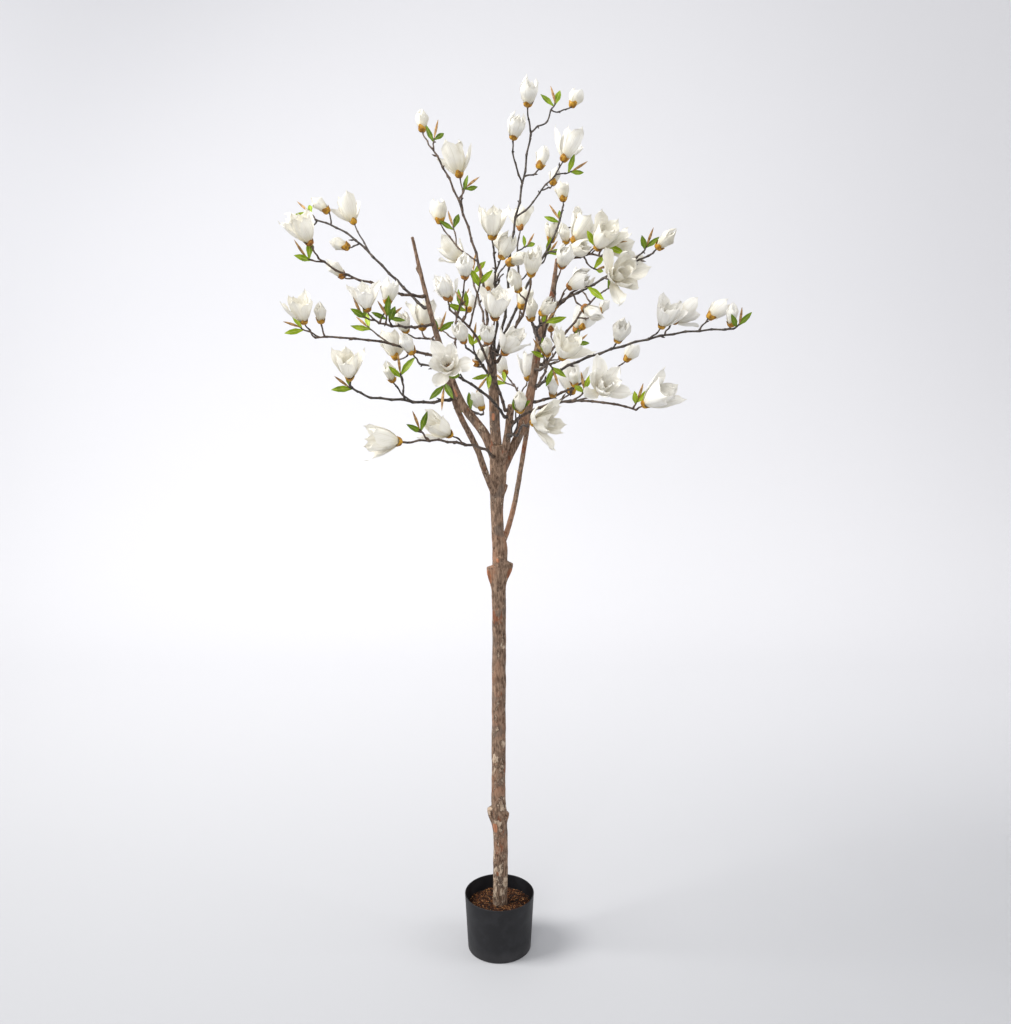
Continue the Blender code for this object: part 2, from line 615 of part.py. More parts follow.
def bark_swell(height, angle, seed):
    """How far the bark stands out or in at a height and an angle, from -1 to 1."""
    return sum(share * math.sin(height * rise + angle * turns + seed * start)
               for share, rise, turns, start in BARK_WAVES)


def limb_skin(limb, grow=0.0):
    """Points and faces of a limb, its radius and ends grown by a distance."""
    sides = TRUNK_SIDES if limb == "trunk" else BOUGH_SIDES
    count = max(int(limb_length(limb) / RING_STEP), 4)
    steps = [k / count for k in range(count + 1)]
    middles = [limb_at(limb, t)[0] for t in steps]
    seed = list(LIMBS).index(limb)

    def radius(k, angle):
        swell = 1 + SWELL * bark_swell(middles[k].z, angle, seed)
        return limb_at(limb, steps[k])[1] * swell + grow

    rings = steady_rings(middles, radius, sides)
    ahead = (middles[-1] - middles[-2]).normalized() * grow
    rings[-1] = [point + ahead for point in rings[-1]]
    return loft(rings)


def knot_skin(row, grow=0.0):
    """Points and faces of a cut stub of wood that stands up and out from a limb."""
    limb, height, bearing, reach, width = row
    middle, _, radius = limb_near(limb, height * CM)
    turn = math.radians(bearing)
    out = Vector((math.cos(turn), math.sin(turn), KNOT_RISE)).normalized()
    wide = width * CM / 2
    places = ((radius * 0.35, 1.35), (radius, 1.1), (radius + reach * CM * 0.75 + grow, 0.72))
    return loft([ring(middle + out * far, out, wide * share + grow, KNOT_SIDES)
                 for far, share in places])


def ring_about(blossom, rows):
    """A ring of points round a blossom's axis, from how far out and how high each lies."""
    turn = math.pi * 2 / len(rows)
    return [blossom.place(out, height, blossom.turn + n * turn)
            for n, (out, height) in enumerate(rows)]


def closed_skin(blossom):
    """Points and faces of a bud, or of a half-open blossom whose petal tips stand apart."""
    long, wide = blossom.length, blossom.half_width
    petals = 2 * WHORL_PETALS
    plan = BUD_RINGS if blossom.kind == "bud" else HALF_RINGS
    rings = [ring_about(blossom, [(CALYX_RADIUS * FOOT_SHARE, -BLOSSOM_SINK)] * petals)]
    rings += [ring_about(blossom, [(wide * out, long * height)] * petals) for out, height in plan]
    if blossom.kind == "bud":
        return loft(rings, blossom.place(0, long, 0))
    rim = [(wide * out, long * height) for out, height in (HALF_TIP, HALF_NOTCH)]
    rings.append(ring_about(blossom, rim * WHORL_PETALS))
    return loft(rings, blossom.place(0, long * HALF_HOLLOW, 0))


def cup_skin(blossom):
    """Points and faces of an open blossom: a cup whose rim rises to the tip of each petal."""
    petals = blossom.petals()
    belly, rim, inside = [], [], []
    for petal, after in zip(petals, petals[1:] + petals[:1]):
        out, height = blossom.petal_line(petal, BELLY)
        next_out, next_height = blossom.petal_line(after, BELLY)
        between = ((out + next_out) * 0.5 * NOTCH_OUT, (height + next_height) * 0.5)
        belly += [(out, height), between]
        low = blossom.petal_line(petal, NOTCH)
        next_low = blossom.petal_line(after, NOTCH)
        rim += [blossom.petal_line(petal, 1),
                ((low[0] + next_low[0]) * 0.5 * NOTCH_OUT, (low[1] + next_low[1]) * 0.5)]
        inside += [(out * CUP_INSIDE, height), (between[0] * CUP_INSIDE, between[1])]
    foot = [(CALYX_RADIUS * FOOT_SHARE, -BLOSSOM_SINK)] * len(belly)
    rings = [ring_about(blossom, rows) for rows in (foot, belly, rim, inside)]
    return loft(rings, blossom.place(0, CUP_DEPTH, 0))


def leaf_skin(leaf):
    """Points and faces of a leaf of eight faces, its foot sunk in what it grows from."""
    side, back = across(leaf.facing)
    root = leaf.foot - leaf.facing * LEAF_SINK
    middle = leaf.foot + leaf.facing * leaf.length * LEAF_WIDEST
    keel = back * (LEAF_THICK if leaf.kind == "green" else leaf.half_width)
    wide = side * leaf.half_width
    slim = min(LEAF_SINK, leaf.half_width) / 2
    foot = [root - back * slim, root + side * slim + back * slim, root - side * slim + back * slim]
    return loft([foot, [middle - keel, middle + wide, middle - wide]],
                leaf.foot + leaf.facing * leaf.length)


def twig_skin(twig, sides, start=None):
    """Points and faces of a twig, from its own foot or from a flat foot before it."""
    count = max(round(twig.length / TWIG_STEP), 2)
    steps = [k / count for k in range(count + 1)]
    middles = [twig.at(t) for t in steps]
    radii = [twig.radius(t) for t in steps]
    if start is not None:
        middles.insert(0, start)
        radii.insert(0, twig.thick * FOOT_FLARE)
    return loft(steady_rings(middles, lambda k, angle: radii[k], sides))


# Solids

def add_solid(name, skin):
    """An object of triangles from points and faces."""
    bm = bmesh.new()
    corners = [bm.verts.new(point) for point in skin[0]]
    for face in skin[1]:
        bm.faces.new([corners[k] for k in face])
    bmesh.ops.triangulate(bm, faces=bm.faces)
    mesh = bpy.data.meshes.new(name)
    bm.to_mesh(mesh)
    bm.free()
    obj = bpy.data.objects.new(name, mesh)
    bpy.context.scene.collection.objects.link(obj)
    return obj


def outer_body(mesh):
    """Keeps the one outer body of a mesh: sealed hollows and loose scraps are dropped."""
    bm = bmesh.new()
    bm.from_mesh(mesh)
    bmesh.ops.triangulate(bm, faces=bm.faces)
    left = set(bm.faces)
    bodies = []
    while left:
        first = left.pop()
        body, edge = [first], [first]
        while edge:
            for line in edge.pop().edges:
                fresh = [face for face in line.link_faces if face in left]
                left.difference_update(fresh)
                body += fresh
                edge += fresh
        corners = [[vert.co for vert in face.verts] for face in body]
        bodies.append((sum(a.dot(b.cross(c)) for a, b, c in corners), body))
    bodies.sort(key=lambda row: row[0])
    for _, body in bodies[:-1]:
        bmesh.ops.delete(bm, geom=body, context="FACES")
    bmesh.ops.delete(bm, geom=[v for v in bm.verts if not v.link_faces], context="VERTS")
    closed = all(len(edge.link_faces) == 2 for edge in bm.edges)
    bm.to_mesh(mesh)
    bm.free()
    return closed


def applied(obj):
    """The object's mesh with its modifiers applied."""
    ready = obj.evaluated_get(bpy.context.evaluated_depsgraph_get())
    return bpy.data.meshes.new_from_object(ready)


def combine(obj, skins, operation):
    """Fuses closed skins to an object, or cuts them from it, in one Boolean that is applied."""
    tools = bpy.data.collections.new(obj.name + "_tools")
    for k, skin in enumerate(skins):
        tools.objects.link(add_solid(f"{obj.name}_tool_{k}", skin))
    change = obj.modifiers.new("Boolean", "BOOLEAN")
    change.operation = operation
    change.solver = "EXACT"
    change.operand_type = "COLLECTION"
    change.collection = tools
    mesh = applied(obj)
    obj.modifiers.clear()
    obj.data = mesh
    for tool in list(tools.objects):
        bpy.data.objects.remove(tool, do_unlink=True)
    bpy.data.collections.remove(tools)
    outer_body(mesh)


def simplify(obj, most):
    """Thins an object's mesh to a number of triangles, where it stays one closed body."""
    for share in SIMPLE_TRIES:
        count = len(obj.data.polygons)
        change = obj.modifiers.new("Decimate", "DECIMATE")
        change.ratio = min(most * share / count, 1)
        change.use_collapse_triangulate = True
        mesh = applied(obj)
        obj.modifiers.clear()
        if outer_body(mesh):
            obj.data = mesh
            return


def finish(obj, kind):
    """Gives an object its own material and smooth shading with sharp edges kept."""
    material = bpy.data.materials.new(obj.name)
    material.use_nodes = True
    shader = material.node_tree.nodes["Principled BSDF"]
    shader.inputs["Base Color"].default_value = (*COLORS[kind], 1)
    shader.inputs["Roughness"].default_value = ROUGHNESS[kind]
    shader.inputs["Metallic"].default_value = 0
    obj.data.materials.clear()
    obj.data.materials.append(material)
    obj.data.shade_smooth()
    obj.data.set_sharp_from_angle(angle=math.radians(SHARP_ANGLE))


def turned(name, profile, sides):
    """A solid turned from a profile that starts and ends on the axis."""
    bm = bmesh.new()
    points = [bm.verts.new((r, 0, z)) for r, z in profile]
    lines = [bm.edges.new(pair) for pair in zip(points, points[1:])]
    bmesh.ops.spin(bm, geom=points + lines, axis=(0, 0, 1), cent=(0, 0, 0), angle=2 * math.pi,
                   steps=sides, use_merge=True)
    bmesh.ops.remove_doubles(bm, verts=bm.verts, dist=MERGE)
    bmesh.ops.recalc_face_normals(bm, faces=bm.faces)
    mesh = bpy.data.meshes.new(name)
    bm.to_mesh(mesh)
    bm.free()
    obj = bpy.data.objects.new(name, mesh)
    bpy.context.scene.collection.objects.link(obj)
    return obj


def pot_radius(height):
    """The outer radius of the pot at a height."""
    return POT_FOOT_RADIUS + (POT_RIM_RADIUS - POT_FOOT_RADIUS) * height / POT_HEIGHT


def build_pot():
    inner = pot_radius(POT_FLOOR) - POT_WALL
    profile = [(0, 0), (pot_radius(0) - POT_EDGE, 0), (pot_radius(POT_EDGE), POT_EDGE),
               (POT_RIM_RADIUS, POT_HEIGHT), (POT_RIM_RADIUS - POT_WALL, POT_HEIGHT),
               (inner, POT_FLOOR), (0, POT_FLOOR)]
    pot = turned("pot", profile, POT_SIDES)
    finish(pot, "pot")


def build_filling():
    """The coir that fills the pot, slightly heaped and lumpy, round the foot of the trunk."""
    low = POT_FLOOR + GAP
    wall = POT_WALL + GAP
    profile = [(0, low), (pot_radius(low) - wall, low)]
    edge = pot_radius(FILL_LEVEL) - wall
    for k in range(FILL_RINGS):
        share = 1 - k / FILL_RINGS
        profile.append((edge * share, FILL_LEVEL + FILL_DOME * (1 - share * share)))
    profile.append((0, FILL_LEVEL + FILL_DOME))
    filling = turned("filling", profile, POT_SIDES)
    rng = random.Random(5)
    for point in filling.data.vertices:
        if point.co.z > FILL_LEVEL and math.hypot(point.co.x, point.co.y) > 0.001:
            point.co.z += rng.uniform(-FILL_LUMP, FILL_LUMP)
    combine(filling, [limb_skin("trunk", GAP)], "DIFFERENCE")
    finish(filling, "filling")


def build_limbs():
    """The trunk with its knots, then each bough cut clear of the wood made before it."""
    before = []
    for limb in LIMBS:
        obj = add_solid(limb, limb_skin(limb))
        knots = [row for row in KNOTS if row[0] == limb]
        if knots:
            combine(obj, [knot_skin(row) for row in knots], "UNION")
        if before:
            combine(obj, before, "DIFFERENCE")
        before.append(limb_skin(limb, GAP))
        before += [knot_skin(row, GAP) for row in knots]
        finish(obj, "wood")


def build_sprays():
    for name, spray in grow_crown().items():
        stem, *shoots = spray["twigs"]
        obj = add_solid(name, twig_skin(stem, STEM_SIDES, spray["start"]))
        skins = [twig_skin(twig, SHOOT_SIDES) for twig in shoots]
        for blossom in spray["blossoms"]:
            skins.append(cup_skin(blossom) if blossom.kind in OPEN_KINDS else closed_skin(blossom))
        skins += [leaf_skin(leaf) for leaf in spray["leaves"]]
        combine(obj, skins, "UNION")
        simplify(obj, sum(len(face) - 2 for _, faces in skins for face in faces))
        finish(obj, "spray")


def main():
    for obj in list(bpy.data.objects):
        bpy.data.objects.remove(obj, do_unlink=True)
    build_pot()
    build_filling()
    build_limbs()
    build_sprays()


main()
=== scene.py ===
"""The looks of the artificial magnolia tree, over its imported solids.

The sprays grow by the rule that the solids follow, written again here, and are carried to
finer twigs, petals and leaves. Lengths are metres; the plans of the limbs and the sprays are
in centimetres and degrees. +Z is up and -Y is the front.
"""
import math
import random

import bpy
import numpy as np
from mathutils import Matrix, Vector, noise
from mathutils.bvhtree import BVHTree


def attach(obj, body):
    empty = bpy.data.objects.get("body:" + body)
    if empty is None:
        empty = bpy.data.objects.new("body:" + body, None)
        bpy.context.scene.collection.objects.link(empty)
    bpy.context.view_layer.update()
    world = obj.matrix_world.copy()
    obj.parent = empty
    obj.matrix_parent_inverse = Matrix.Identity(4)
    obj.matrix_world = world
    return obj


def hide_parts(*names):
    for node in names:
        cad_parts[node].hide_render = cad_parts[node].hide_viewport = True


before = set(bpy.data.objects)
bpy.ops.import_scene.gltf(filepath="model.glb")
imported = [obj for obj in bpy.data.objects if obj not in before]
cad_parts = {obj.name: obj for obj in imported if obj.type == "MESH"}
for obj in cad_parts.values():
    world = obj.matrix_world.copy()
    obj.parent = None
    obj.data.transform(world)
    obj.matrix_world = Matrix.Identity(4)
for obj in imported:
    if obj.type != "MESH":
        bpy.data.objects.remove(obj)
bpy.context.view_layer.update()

CM = 0.01
GAP = 0.0003

# Pot and filling
POT_HEIGHT = 0.148
POT_RIM_RADIUS = 0.0871
POT_FOOT_RADIUS = 0.0797
POT_WALL = 0.0024
POT_FLOOR = 0.003
POT_EDGE = 0.003
FILL_LEVEL = 0.112
FILL_DOME = 0.006
FILL_LUMP = 0.0022

# Wood: how coarsely it is cut and how far its bark swells and sinks
TRUNK_SIDES = 12
BOUGH_SIDES = 8
RING_STEP = 0.04
SWELL = 0.045
# Three waves of the bark: how strong, then its turns by height and by angle, and its start
BARK_WAVES = ((0.35, 37, 2, 1), (0.35, 61, -1, 2), (0.30, 113, 3, 3))

# Each limb's stations: x, y, z of its middle and its diameter there, in centimetres.
LIMBS = {
    "trunk": ((0.2, 0, 2.5, 3.9), (0.2, 0, 14, 3.7), (0.3, 0, 28, 3.6), (-0.1, 0, 36, 3.9),
              (-0.2, 0, 41, 3.5), (-0.1, 0, 66, 3.4), (0, 0, 86, 3.3), (-0.1, 0, 94, 3.4),
              (0.2, 0, 103, 3.6), (-0.3, 0, 108, 2.9), (-0.5, 0, 114, 3.1), (-0.2, 0, 121, 3.8),
              (-0.4, 0, 128.4, 3.4)),
    "bough_center": ((-0.5, 0, 126, 2.6), (-0.9, 0, 133, 2.4), (-1.2, 0, 140, 2.3),
                     (-1.9, 0, 151, 2.1)),
    "bough_right": ((0.2, 0.6, 121, 2.2), (2.4, 1.2, 126, 2.2), (5, 2, 131.4, 2.1),
                    (7.7, 4, 142, 1.9), (9.9, 6, 155, 1.5), (12.2, 7, 162, 1.2),
                    (13.5, 8.5, 171, 0.8)),
    "bough_left": ((-0.6, 0.8, 124, 2.3), (-3.3, 2, 130.6, 2.2), (-8.9, 4, 138, 2.0),
                   (-12.2, 5.5, 146, 1.7), (-14.7, 6, 154, 1.3), (-17, 6, 163, 1.0),
                   (-18.4, 6, 169, 0.9), (-19.9, 6, 175.7, 0.7)),
    "bough_left_thin": ((-0.4, -0.6, 115.4, 1.5), (-2.8, -2.6, 121.5, 1.5), (-5.0, -4, 128, 1.4),
                        (-9.1, -7, 137, 1.3), (-12, -10, 146.4, 1.1)),
    "bough_right_thin": ((0.2, 0.6, 103.5, 1.4), (2.4, 2.8, 109, 1.3), (4.3, 5, 117, 1.2),
                         (6.7, 9, 131, 1.1), (10.2, 16, 152, 1.0)),
    "bough_stub": ((0.2, -0.6, 123.5, 1.8), (1.6, -2.7, 128.5, 1.8), (2.8, -5, 138.1, 1.6)),
}

# Knots: the limb, the height and bearing they stand at, how far they reach and how thick
# they are. Bearings are degrees round the limb from +X.
KNOTS = (
    ("trunk", 98.6, 190, 1.9, 1.5), ("trunk", 99.6, -12, 2.0, 1.4),
    ("trunk", 101.5, 265, 0.7, 1.5), ("trunk", 37.2, 192, 1.5, 1.7),
    ("trunk", 36.0, -10, 0.9, 1.8), ("trunk", 78.0, 130, 0.7, 1.4),
    ("trunk", 118.5, 20, 0.9, 1.5), ("bough_left", 168.5, 200, 0.6, 0.7),
)

# Headings are degrees from upright towards +X, as seen from the front.
# A shoot: what it grows from (0 the stem, n the nth shoot), how far along that, its heading
# and length, what it ends in and where that end heads.
# A spray: its limb, the height of its foot, the tip of its stem (x, y, z), the headings it
# leaves and arrives with, then its shoots.
SPRAYS = {
    "spray_top": ("bough_center", 150, (7, -3, 197), 8, 10, (
        (0, 1.00, 38, 9, "leaf", 0), (1, 0.75, 70, 5, "half", 25), (0, 1.00, -10, 4.5, "half", 5),
        (0, 0.79, -15, 8.5, "half", 15), (0, 0.82, 60, 4, "bud", 15), (0, 0.65, 40, 16.5, "open", 20),
        (6, 0.80, 75, 4, "leaf", 60), (6, 0.50, 60, 3, "bud", 15))),
    "spray_high_right": ("bough_center", 149, (15, 14, 183), 5, 10, (
        (0, 1.00, 10, 1.5, "half", -5), (0, 0.57, 30, 9, "half", 5), (0, 0.71, 70, 5, "bud", -15),
        (0, 0.87, 75, 5.5, "bud", -5), (0, 0.68, 50, 2, "leaf", 40), (0, 0.90, 10, 1, "leaf", -25))),
    "spray_right_tip": ("bough_right", 170, (23, 0, 171), 65, 110, (
        (0, 1.00, 55, 2, "open", 70), (0, 0.05, 30, 5, "open", 35), (0, 0.15, 10, 2, "half", 80),
        (0, 0.68, 65, 2, "open", 30), (0, 0.72, 30, 3, "leaf", 10), (0, 0.95, 30, 3, "leaf", 85),
        (0, 0.60, 130, 4.5, "leaf", 70))),
    "spray_right_long": ("bough_right", 160, (33, -12, 171), 50, 60, (
        (0, 1.00, 35, 1, "bud", 45), (0, 0.58, 110, 1.5, "wide", 60), (0, 0.80, 40, 4.5, "leaf", 15),
        (0, 0.74, 105, 2.5, "bud", 30))),
    "spray_right_mid": ("bough_right", 150, (18, -10, 164), 0, 65, (
        (0, 1.00, 90, 1.5, "leaf", 85), (0, 0.63, 25, 4.5, "half", 60), (0, 0.47, 10, 10.5, "half", 15),
        (0, 0.87, 145, 3.5, "bud", 120))),
    "spray_right_rear": ("bough_right_thin", 146.5, (26, 24, 164), 40, 55, (
        (0, 1.00, 60, 2, "leaf", 45), (0, 0.62, 80, 5.5, "bud", 40), (0, 0.38, 70, 5.5, "bud", 15),
        (0, 0.83, -30, 4.5, "half", -5))),
    "spray_mid_cross": ("bough_center", 147.5, (7, -10, 165), 35, 10, (
        (0, 1.00, 0, 1, "half", 5), (0, 0.81, -45, 2.5, "bud", -20), (0, 0.51, 15, 4, "half", 20))),
    "spray_mid": ("bough_center", 146, (-1, -14, 156), 0, 20, (
        (0, 0.94, 15, 1.5, "open", 5), (0, 0.50, 115, 3, "open", 30), (0, 0.30, 190, 4, "leaf", 220))),
    "spray_front_left": ("bough_stub", 137, (-10, -20, 159), -10, -50, (
        (0, 1.00, -10, 2, "half", -15), (0, 0.93, 15, 7.5, "half", 0), (0, 0.80, 15, 9.5, "leaf", 10),
        (0, 0.87, 15, 3, "leaf", -45), (0, 0.64, 80, 1.5, "half", 0))),
    "spray_left_near": ("bough_center", 144, (-7, -12, 151), -25, -60, (
        (0, 1.00, -15, 1, "half", -20), (0, 0.60, -15, 3.5, "leaf", 10), (0, 0.40, -90, 2, "bud", 35))),
    "spray_left_band": ("bough_stub", 135.5, (-16, -24, 148), -30, -85, (
        (0, 1.00, -30, 2.5, "bud", -25), (0, 0.73, -15, 1, "wide", -10), (0, 0.59, -30, 2, "leaf", -55),
        (0, 0.81, 175, 3.5, "leaf", 200))),
    "spray_left_rear": ("bough_left", 152, (-18, 12, 153), -60, -70, (
        (0, 1.00, -20, 1.5, "open", 5), (0, 0.60, -75, 5, "half", -15), (0, 0.45, 40, 3, "leaf", 30))),
    "spray_left_reach": ("bough_left", 149, (-41, -4, 153), -80, -100, (
        (0, 1.00, -30, 3.5, "open", -10), (0, 0.93, -10, 3, "bud", 0), (0, 0.97, -60, 4.5, "leaf", -55),
        (0, 0.44, -55, 6.5, "leaf", -50), (0, 0.25, -120, 5, "open", -10))),
    "spray_left_full": ("bough_left", 156, (-26, -18, 157), -100, -50, (
        (0, 1.00, -35, 2, "open", -5), (0, 0.90, 20, 4, "half", 10), (0, 0.80, 10, 2, "leaf", -15),
        (0, 1.00, -70, 2.5, "leaf", -25), (0, 0.71, -10, 2, "leaf", 50))),
    "spray_left_high": ("bough_left", 160, (-43, 12, 180), -50, -75, (
        (0, 1.00, -40, 2.5, "leaf", -50), (0, 0.57, -30, 8, "open", -25), (0, 0.66, -105, 3, "bud", -70),
        (0, 0.89, -10, 3, "bud", -50), (0, 0.99, -120, 3.5, "half", -65))),
    "spray_left_arm": ("bough_left", 162.5, (-39, -8, 170), -85, -55, (
        (0, 1.00, -25, 3, "open", -20), (0, 0.69, -90, 2, "bud", -45), (0, 0.96, -80, 3, "leaf", -45))),
    "spray_left_wide": ("bough_left_thin", 140, (-30, -28, 144), -80, -35, (
        (0, 1.00, 10, 1, "open", 0), (0, 0.40, -40, 5.5, "bud", -15), (0, 0.46, -5, 6, "leaf", -10),
        (0, 0.90, -55, 2, "leaf", -60))),
    "spray_left_low": ("trunk", 126, (-18, -34, 133), -20, -90, (
        (0, 1.00, -75, 1, "open", -85), (0, 0.81, -35, 3, "leaf", -20), (0, 0.45, -50, 3.5, "open", -55))),
    "spray_low_rear": ("bough_left", 135.5, (-4, 16, 134), 60, 100, (
        (0, 1.00, 0, 1, "half", -30), (0, 0.75, -65, 2.5, "leaf", -45))),
    "spray_high_left": ("bough_center", 150.6, (-15, 6, 195), 12, -32, (
        (0, 1.00, -30, 5, "bud", -5), (0, 0.99, 0, 3, "leaf", 15), (0, 0.74, 30, 3.5, "leaf", 35),
        (0, 0.69, -5, 8, "open", -15), (0, 0.47, -45, 12.5, "half", -10),
        (5, 0.50, -10, 4.5, "leaf", -25))),
    "spray_high_mid": ("bough_center", 148.5, (-1, -14, 172), 5, -10, (
        (0, 1.00, -10, 1.5, "open", 0), (0, 0.80, 25, 3, "half", 25), (0, 0.64, 25, 4, "leaf", 95),
        (0, 0.68, 25, 5.5, "bud", 65))),
    "spray_high_rear": ("bough_center", 147, (-7, 24, 168), -10, -20, (
        (0, 1.00, -35, 4, "open", -45), (0, 0.70, 35, 3, "half", 15), (0, 0.90, -5, 3, "leaf", 10))),
    "spray_far_right": ("bough_right", 142, (52, -6, 155), 45, 88, (
        (0, 1.00, 45, 1.5, "leaf", 5), (0, 0.96, 70, 1.5, "bud", 0), (0, 0.45, 35, 2, "half", 15),
        (0, 0.63, 40, 3, "open", 20), (0, 0.70, 35, 3.5, "open", 60), (0, 0.85, 40, 3.5, "half", 50))),
    "spray_low_right": ("bough_stub", 134.5, (28, -28, 139), 35, 110, (
        (0, 1.00, 50, 1.5, "open", 50), (0, 0.98, 20, 2, "leaf", 10), (0, 0.55, 40, 3.5, "leaf", -15),
        (0, 0.41, 50, 6, "bud", 0), (0, 0.49, 70, 7.5, "wide", 25))),
    "spray_right_low_rear": ("bough_right", 138.5, (27, 14, 145), 85, 70, (
        (0, 1.00, 65, 4.5, "half", 35), (0, 0.45, 120, 2, "open", 0), (0, 0.20, 70, 1, "bud", 0))),
    "spray_low_front": ("bough_stub", 131.5, (6, -20, 135), 70, 55, (
        (0, 1.00, 55, 1, "wide", 80), (0, 0.30, 15, 5.5, "bud", 0), (0, 0.20, 10, 6.5, "leaf", 10))),
    "spray_right_near": ("bough_right", 145.5, (12, -14, 148), 65, 50, (
        (0, 1.00, 70, 1.5, "wide", 25), (0, 0.58, 10, 2, "bud", -5), (0, 0.48, -10, 3, "leaf", -30),
        (0, 0.79, 150, 1.5, "leaf", 170))),
    "spray_right_up": ("bough_right", 152.5, (9, -8, 157), -25, 20, (
        (0, 1.00, 0, 1, "half", 45), (0, 0.60, -50, 2, "bud", 0), (0, 0.86, 75, 1.5, "leaf", 50))),
    "spray_rear_high": ("bough_right_thin", 151.5, (5, 38, 178), -10, 15, (
        (0, 1.00, 10, 2, "open", 0), (0, 0.75, -45, 5, "half", -20), (0, 0.60, 40, 5, "bud", 20),
        (0, 0.88, 60, 3, "leaf", 40))),
    "spray_rear_left": ("bough_left", 144, (-12, 38, 160), -20, -30, (
        (0, 1.00, -30, 2, "open", -20), (0, 0.70, 35, 5, "half", 15), (0, 0.55, -60, 4, "bud", -30),
        (0, 0.90, 30, 3, "leaf", 20))),
    "spray_rear_right": ("bough_right_thin", 141, (19, 38, 152), 30, 60, (
        (0, 1.00, 30, 2, "open", 30), (0, 0.70, -20, 5, "half", 0), (0, 0.50, 80, 4, "bud", 50),
        (0, 0.88, 90, 3, "leaf", 60))),
    "spray_rear_low": ("bough_right_thin", 133, (3, 36, 141), 10, -30, (
        (0, 1.00, -40, 2, "half", -30), (0, 0.65, 30, 4, "open", 10), (0, 0.85, -70, 3, "leaf", -50))),
}

# Stems and shoots
STEM_RADIUS = 0.0040
STEM_TIP_RADIUS = 0.0024
SHOOT_RADIUS = 0.0025
SHOOT_TIP_RADIUS = 0.0018
SHOOT_SHARE = 0.95
FOOT_LENGTH = 0.007
FOOT_FLARE = 1.15
FOOT_PROBES = 4
PROBE_FROM = 0.05
LEAVE_PULL = 0.25
ARRIVE_PULL = 0.35
SWAY = 0.03
SWAY_MOST = 0.004
BEND_MOST = 50
CLEAR = 0.0015
BALL_STEP = 0.007
STEM_SHIFTS = (0, 2, -2, 4, -4, 6, -6, 8, -8)
LEAN_TRIES = (1, 0.5, -1, -0.5, 0, 1.3, -1.3, 1.6, -1.6, 2, -2)
DEPTH_MOST = 0.06
OUTWARD_LEAN = (22, 50)
MIDDLE_DEPTH = 0.04
BLOSSOM_LEAN = 0.6
WIDE_LEAN = 1.2
OWN_SHARE = 0.4

# Blossoms: length and half width of each kind, then its two whorls of three petals, each
# with its length as a share and the angles from the axis that its petals start and end at.
BLOSSOMS = {
    "bud": (0.054, 0.0130, ((1.0, 24, -18), (0.95, 18, -20))),
    "half": (0.066, 0.0200, ((1.0, 34, -10), (0.95, 26, -16))),
    "open": (0.080, 0.034, ((1.0, 52, 8), (0.93, 40, -10))),
    "wide": (0.080, 0.045, ((1.0, 72, 30), (0.92, 54, 6))),
}
OPEN_KINDS = ("open", "wide")
WHORL_PETALS = 3
BLOSSOM_SPREAD = 0.08
PETAL_WIDTH = 0.28
PETAL_ROOT = 0.004
PETAL_STEPS = 8
# Balls that cover a closed blossom and a petal: how far along, then how wide as a share
CLOSED_BALLS = ((0.15, 0.75), (0.4, 1.0), (0.65, 1.0), (0.9, 0.7))
PETAL_BALLS = ((0.3, 0.75), (0.6, 0.95), (0.9, 0.6))
CALYX_RADIUS = 0.0075
CALYX_LENGTH = 0.014

# Leaves: a fan is two green leaves and a furled brown one between them
LEAF_LENGTH = 0.053
LEAF_HALF_WIDTH = 0.0076
LEAF_SPREAD = 38
LEAF_STEP = 0.005
LEAF_SIZES = (0.75, 1.1)
LEAF_SWING = (0.8, 1.1)
LEAF_ROLL = (5, 25)
LEAF_BALLS = ((0.35, 0.85), (0.6, 1.0), (0.9, 0.5))
FAN_TURN = 12
FURL_LENGTH = 0.042
FURL_RADIUS = 0.0028
FURL_SIZES = (0.8, 1.1)

# Finer detail: bark
BARK_STEP = 0.0026
BARK_WIDTH = 0.0022
BARK_ANGLE = 70
SOFT_ANGLE = 60
RELIEF = 0.00055
RELIEF_SHIFT = (3.7, 1.3)
# The bark's ridges, flakes and pits: how fine they are across and along a limb, and how strong
RELIEF_GRAINS = ((150, 34), (58, 36), (330, 210))
RELIEF_SHARES = (0.7, 0.55, 0.45)
FLAKE_EDGE = 0.06
END_ROUND = 0.0012
END_RINGS = (0.72, 0.4, 0.05)
KNOT_RUN = 2.9
KNOT_TOP = 0.006
KNOT_SPREAD = 1.1
KNOT_OUT = 0.72
SCAR_LIFT = 0.0006
SCAR_SINK = 2.2
SCAR_RAGGED = 0.25
SCAR_RAGS = (0.35, 1.5)
SCAR_ROUND = 0.4
SCAR_COLUMNS = 12
# Bare patches: the limb, height, bearing, half height and half width, in centimetres
SCARS = (
    ("trunk", 97.0, 200, 2.1, 0.5), ("trunk", 98.2, -22, 1.8, 0.4), ("trunk", 101.4, 256, 0.8, 0.45),
    ("trunk", 33.2, 234, 2.2, 0.7), ("trunk", 20.5, 245, 0.6, 0.4), ("trunk", 60.0, 60, 1.6, 0.6),
    ("trunk", 112.0, 100, 1.2, 0.6), ("bough_left", 140.0, 260, 1.2, 0.4),
    ("bough_right", 138.0, 280, 1.0, 0.35), ("bough_center", 135.0, 255, 1.3, 0.45),
)

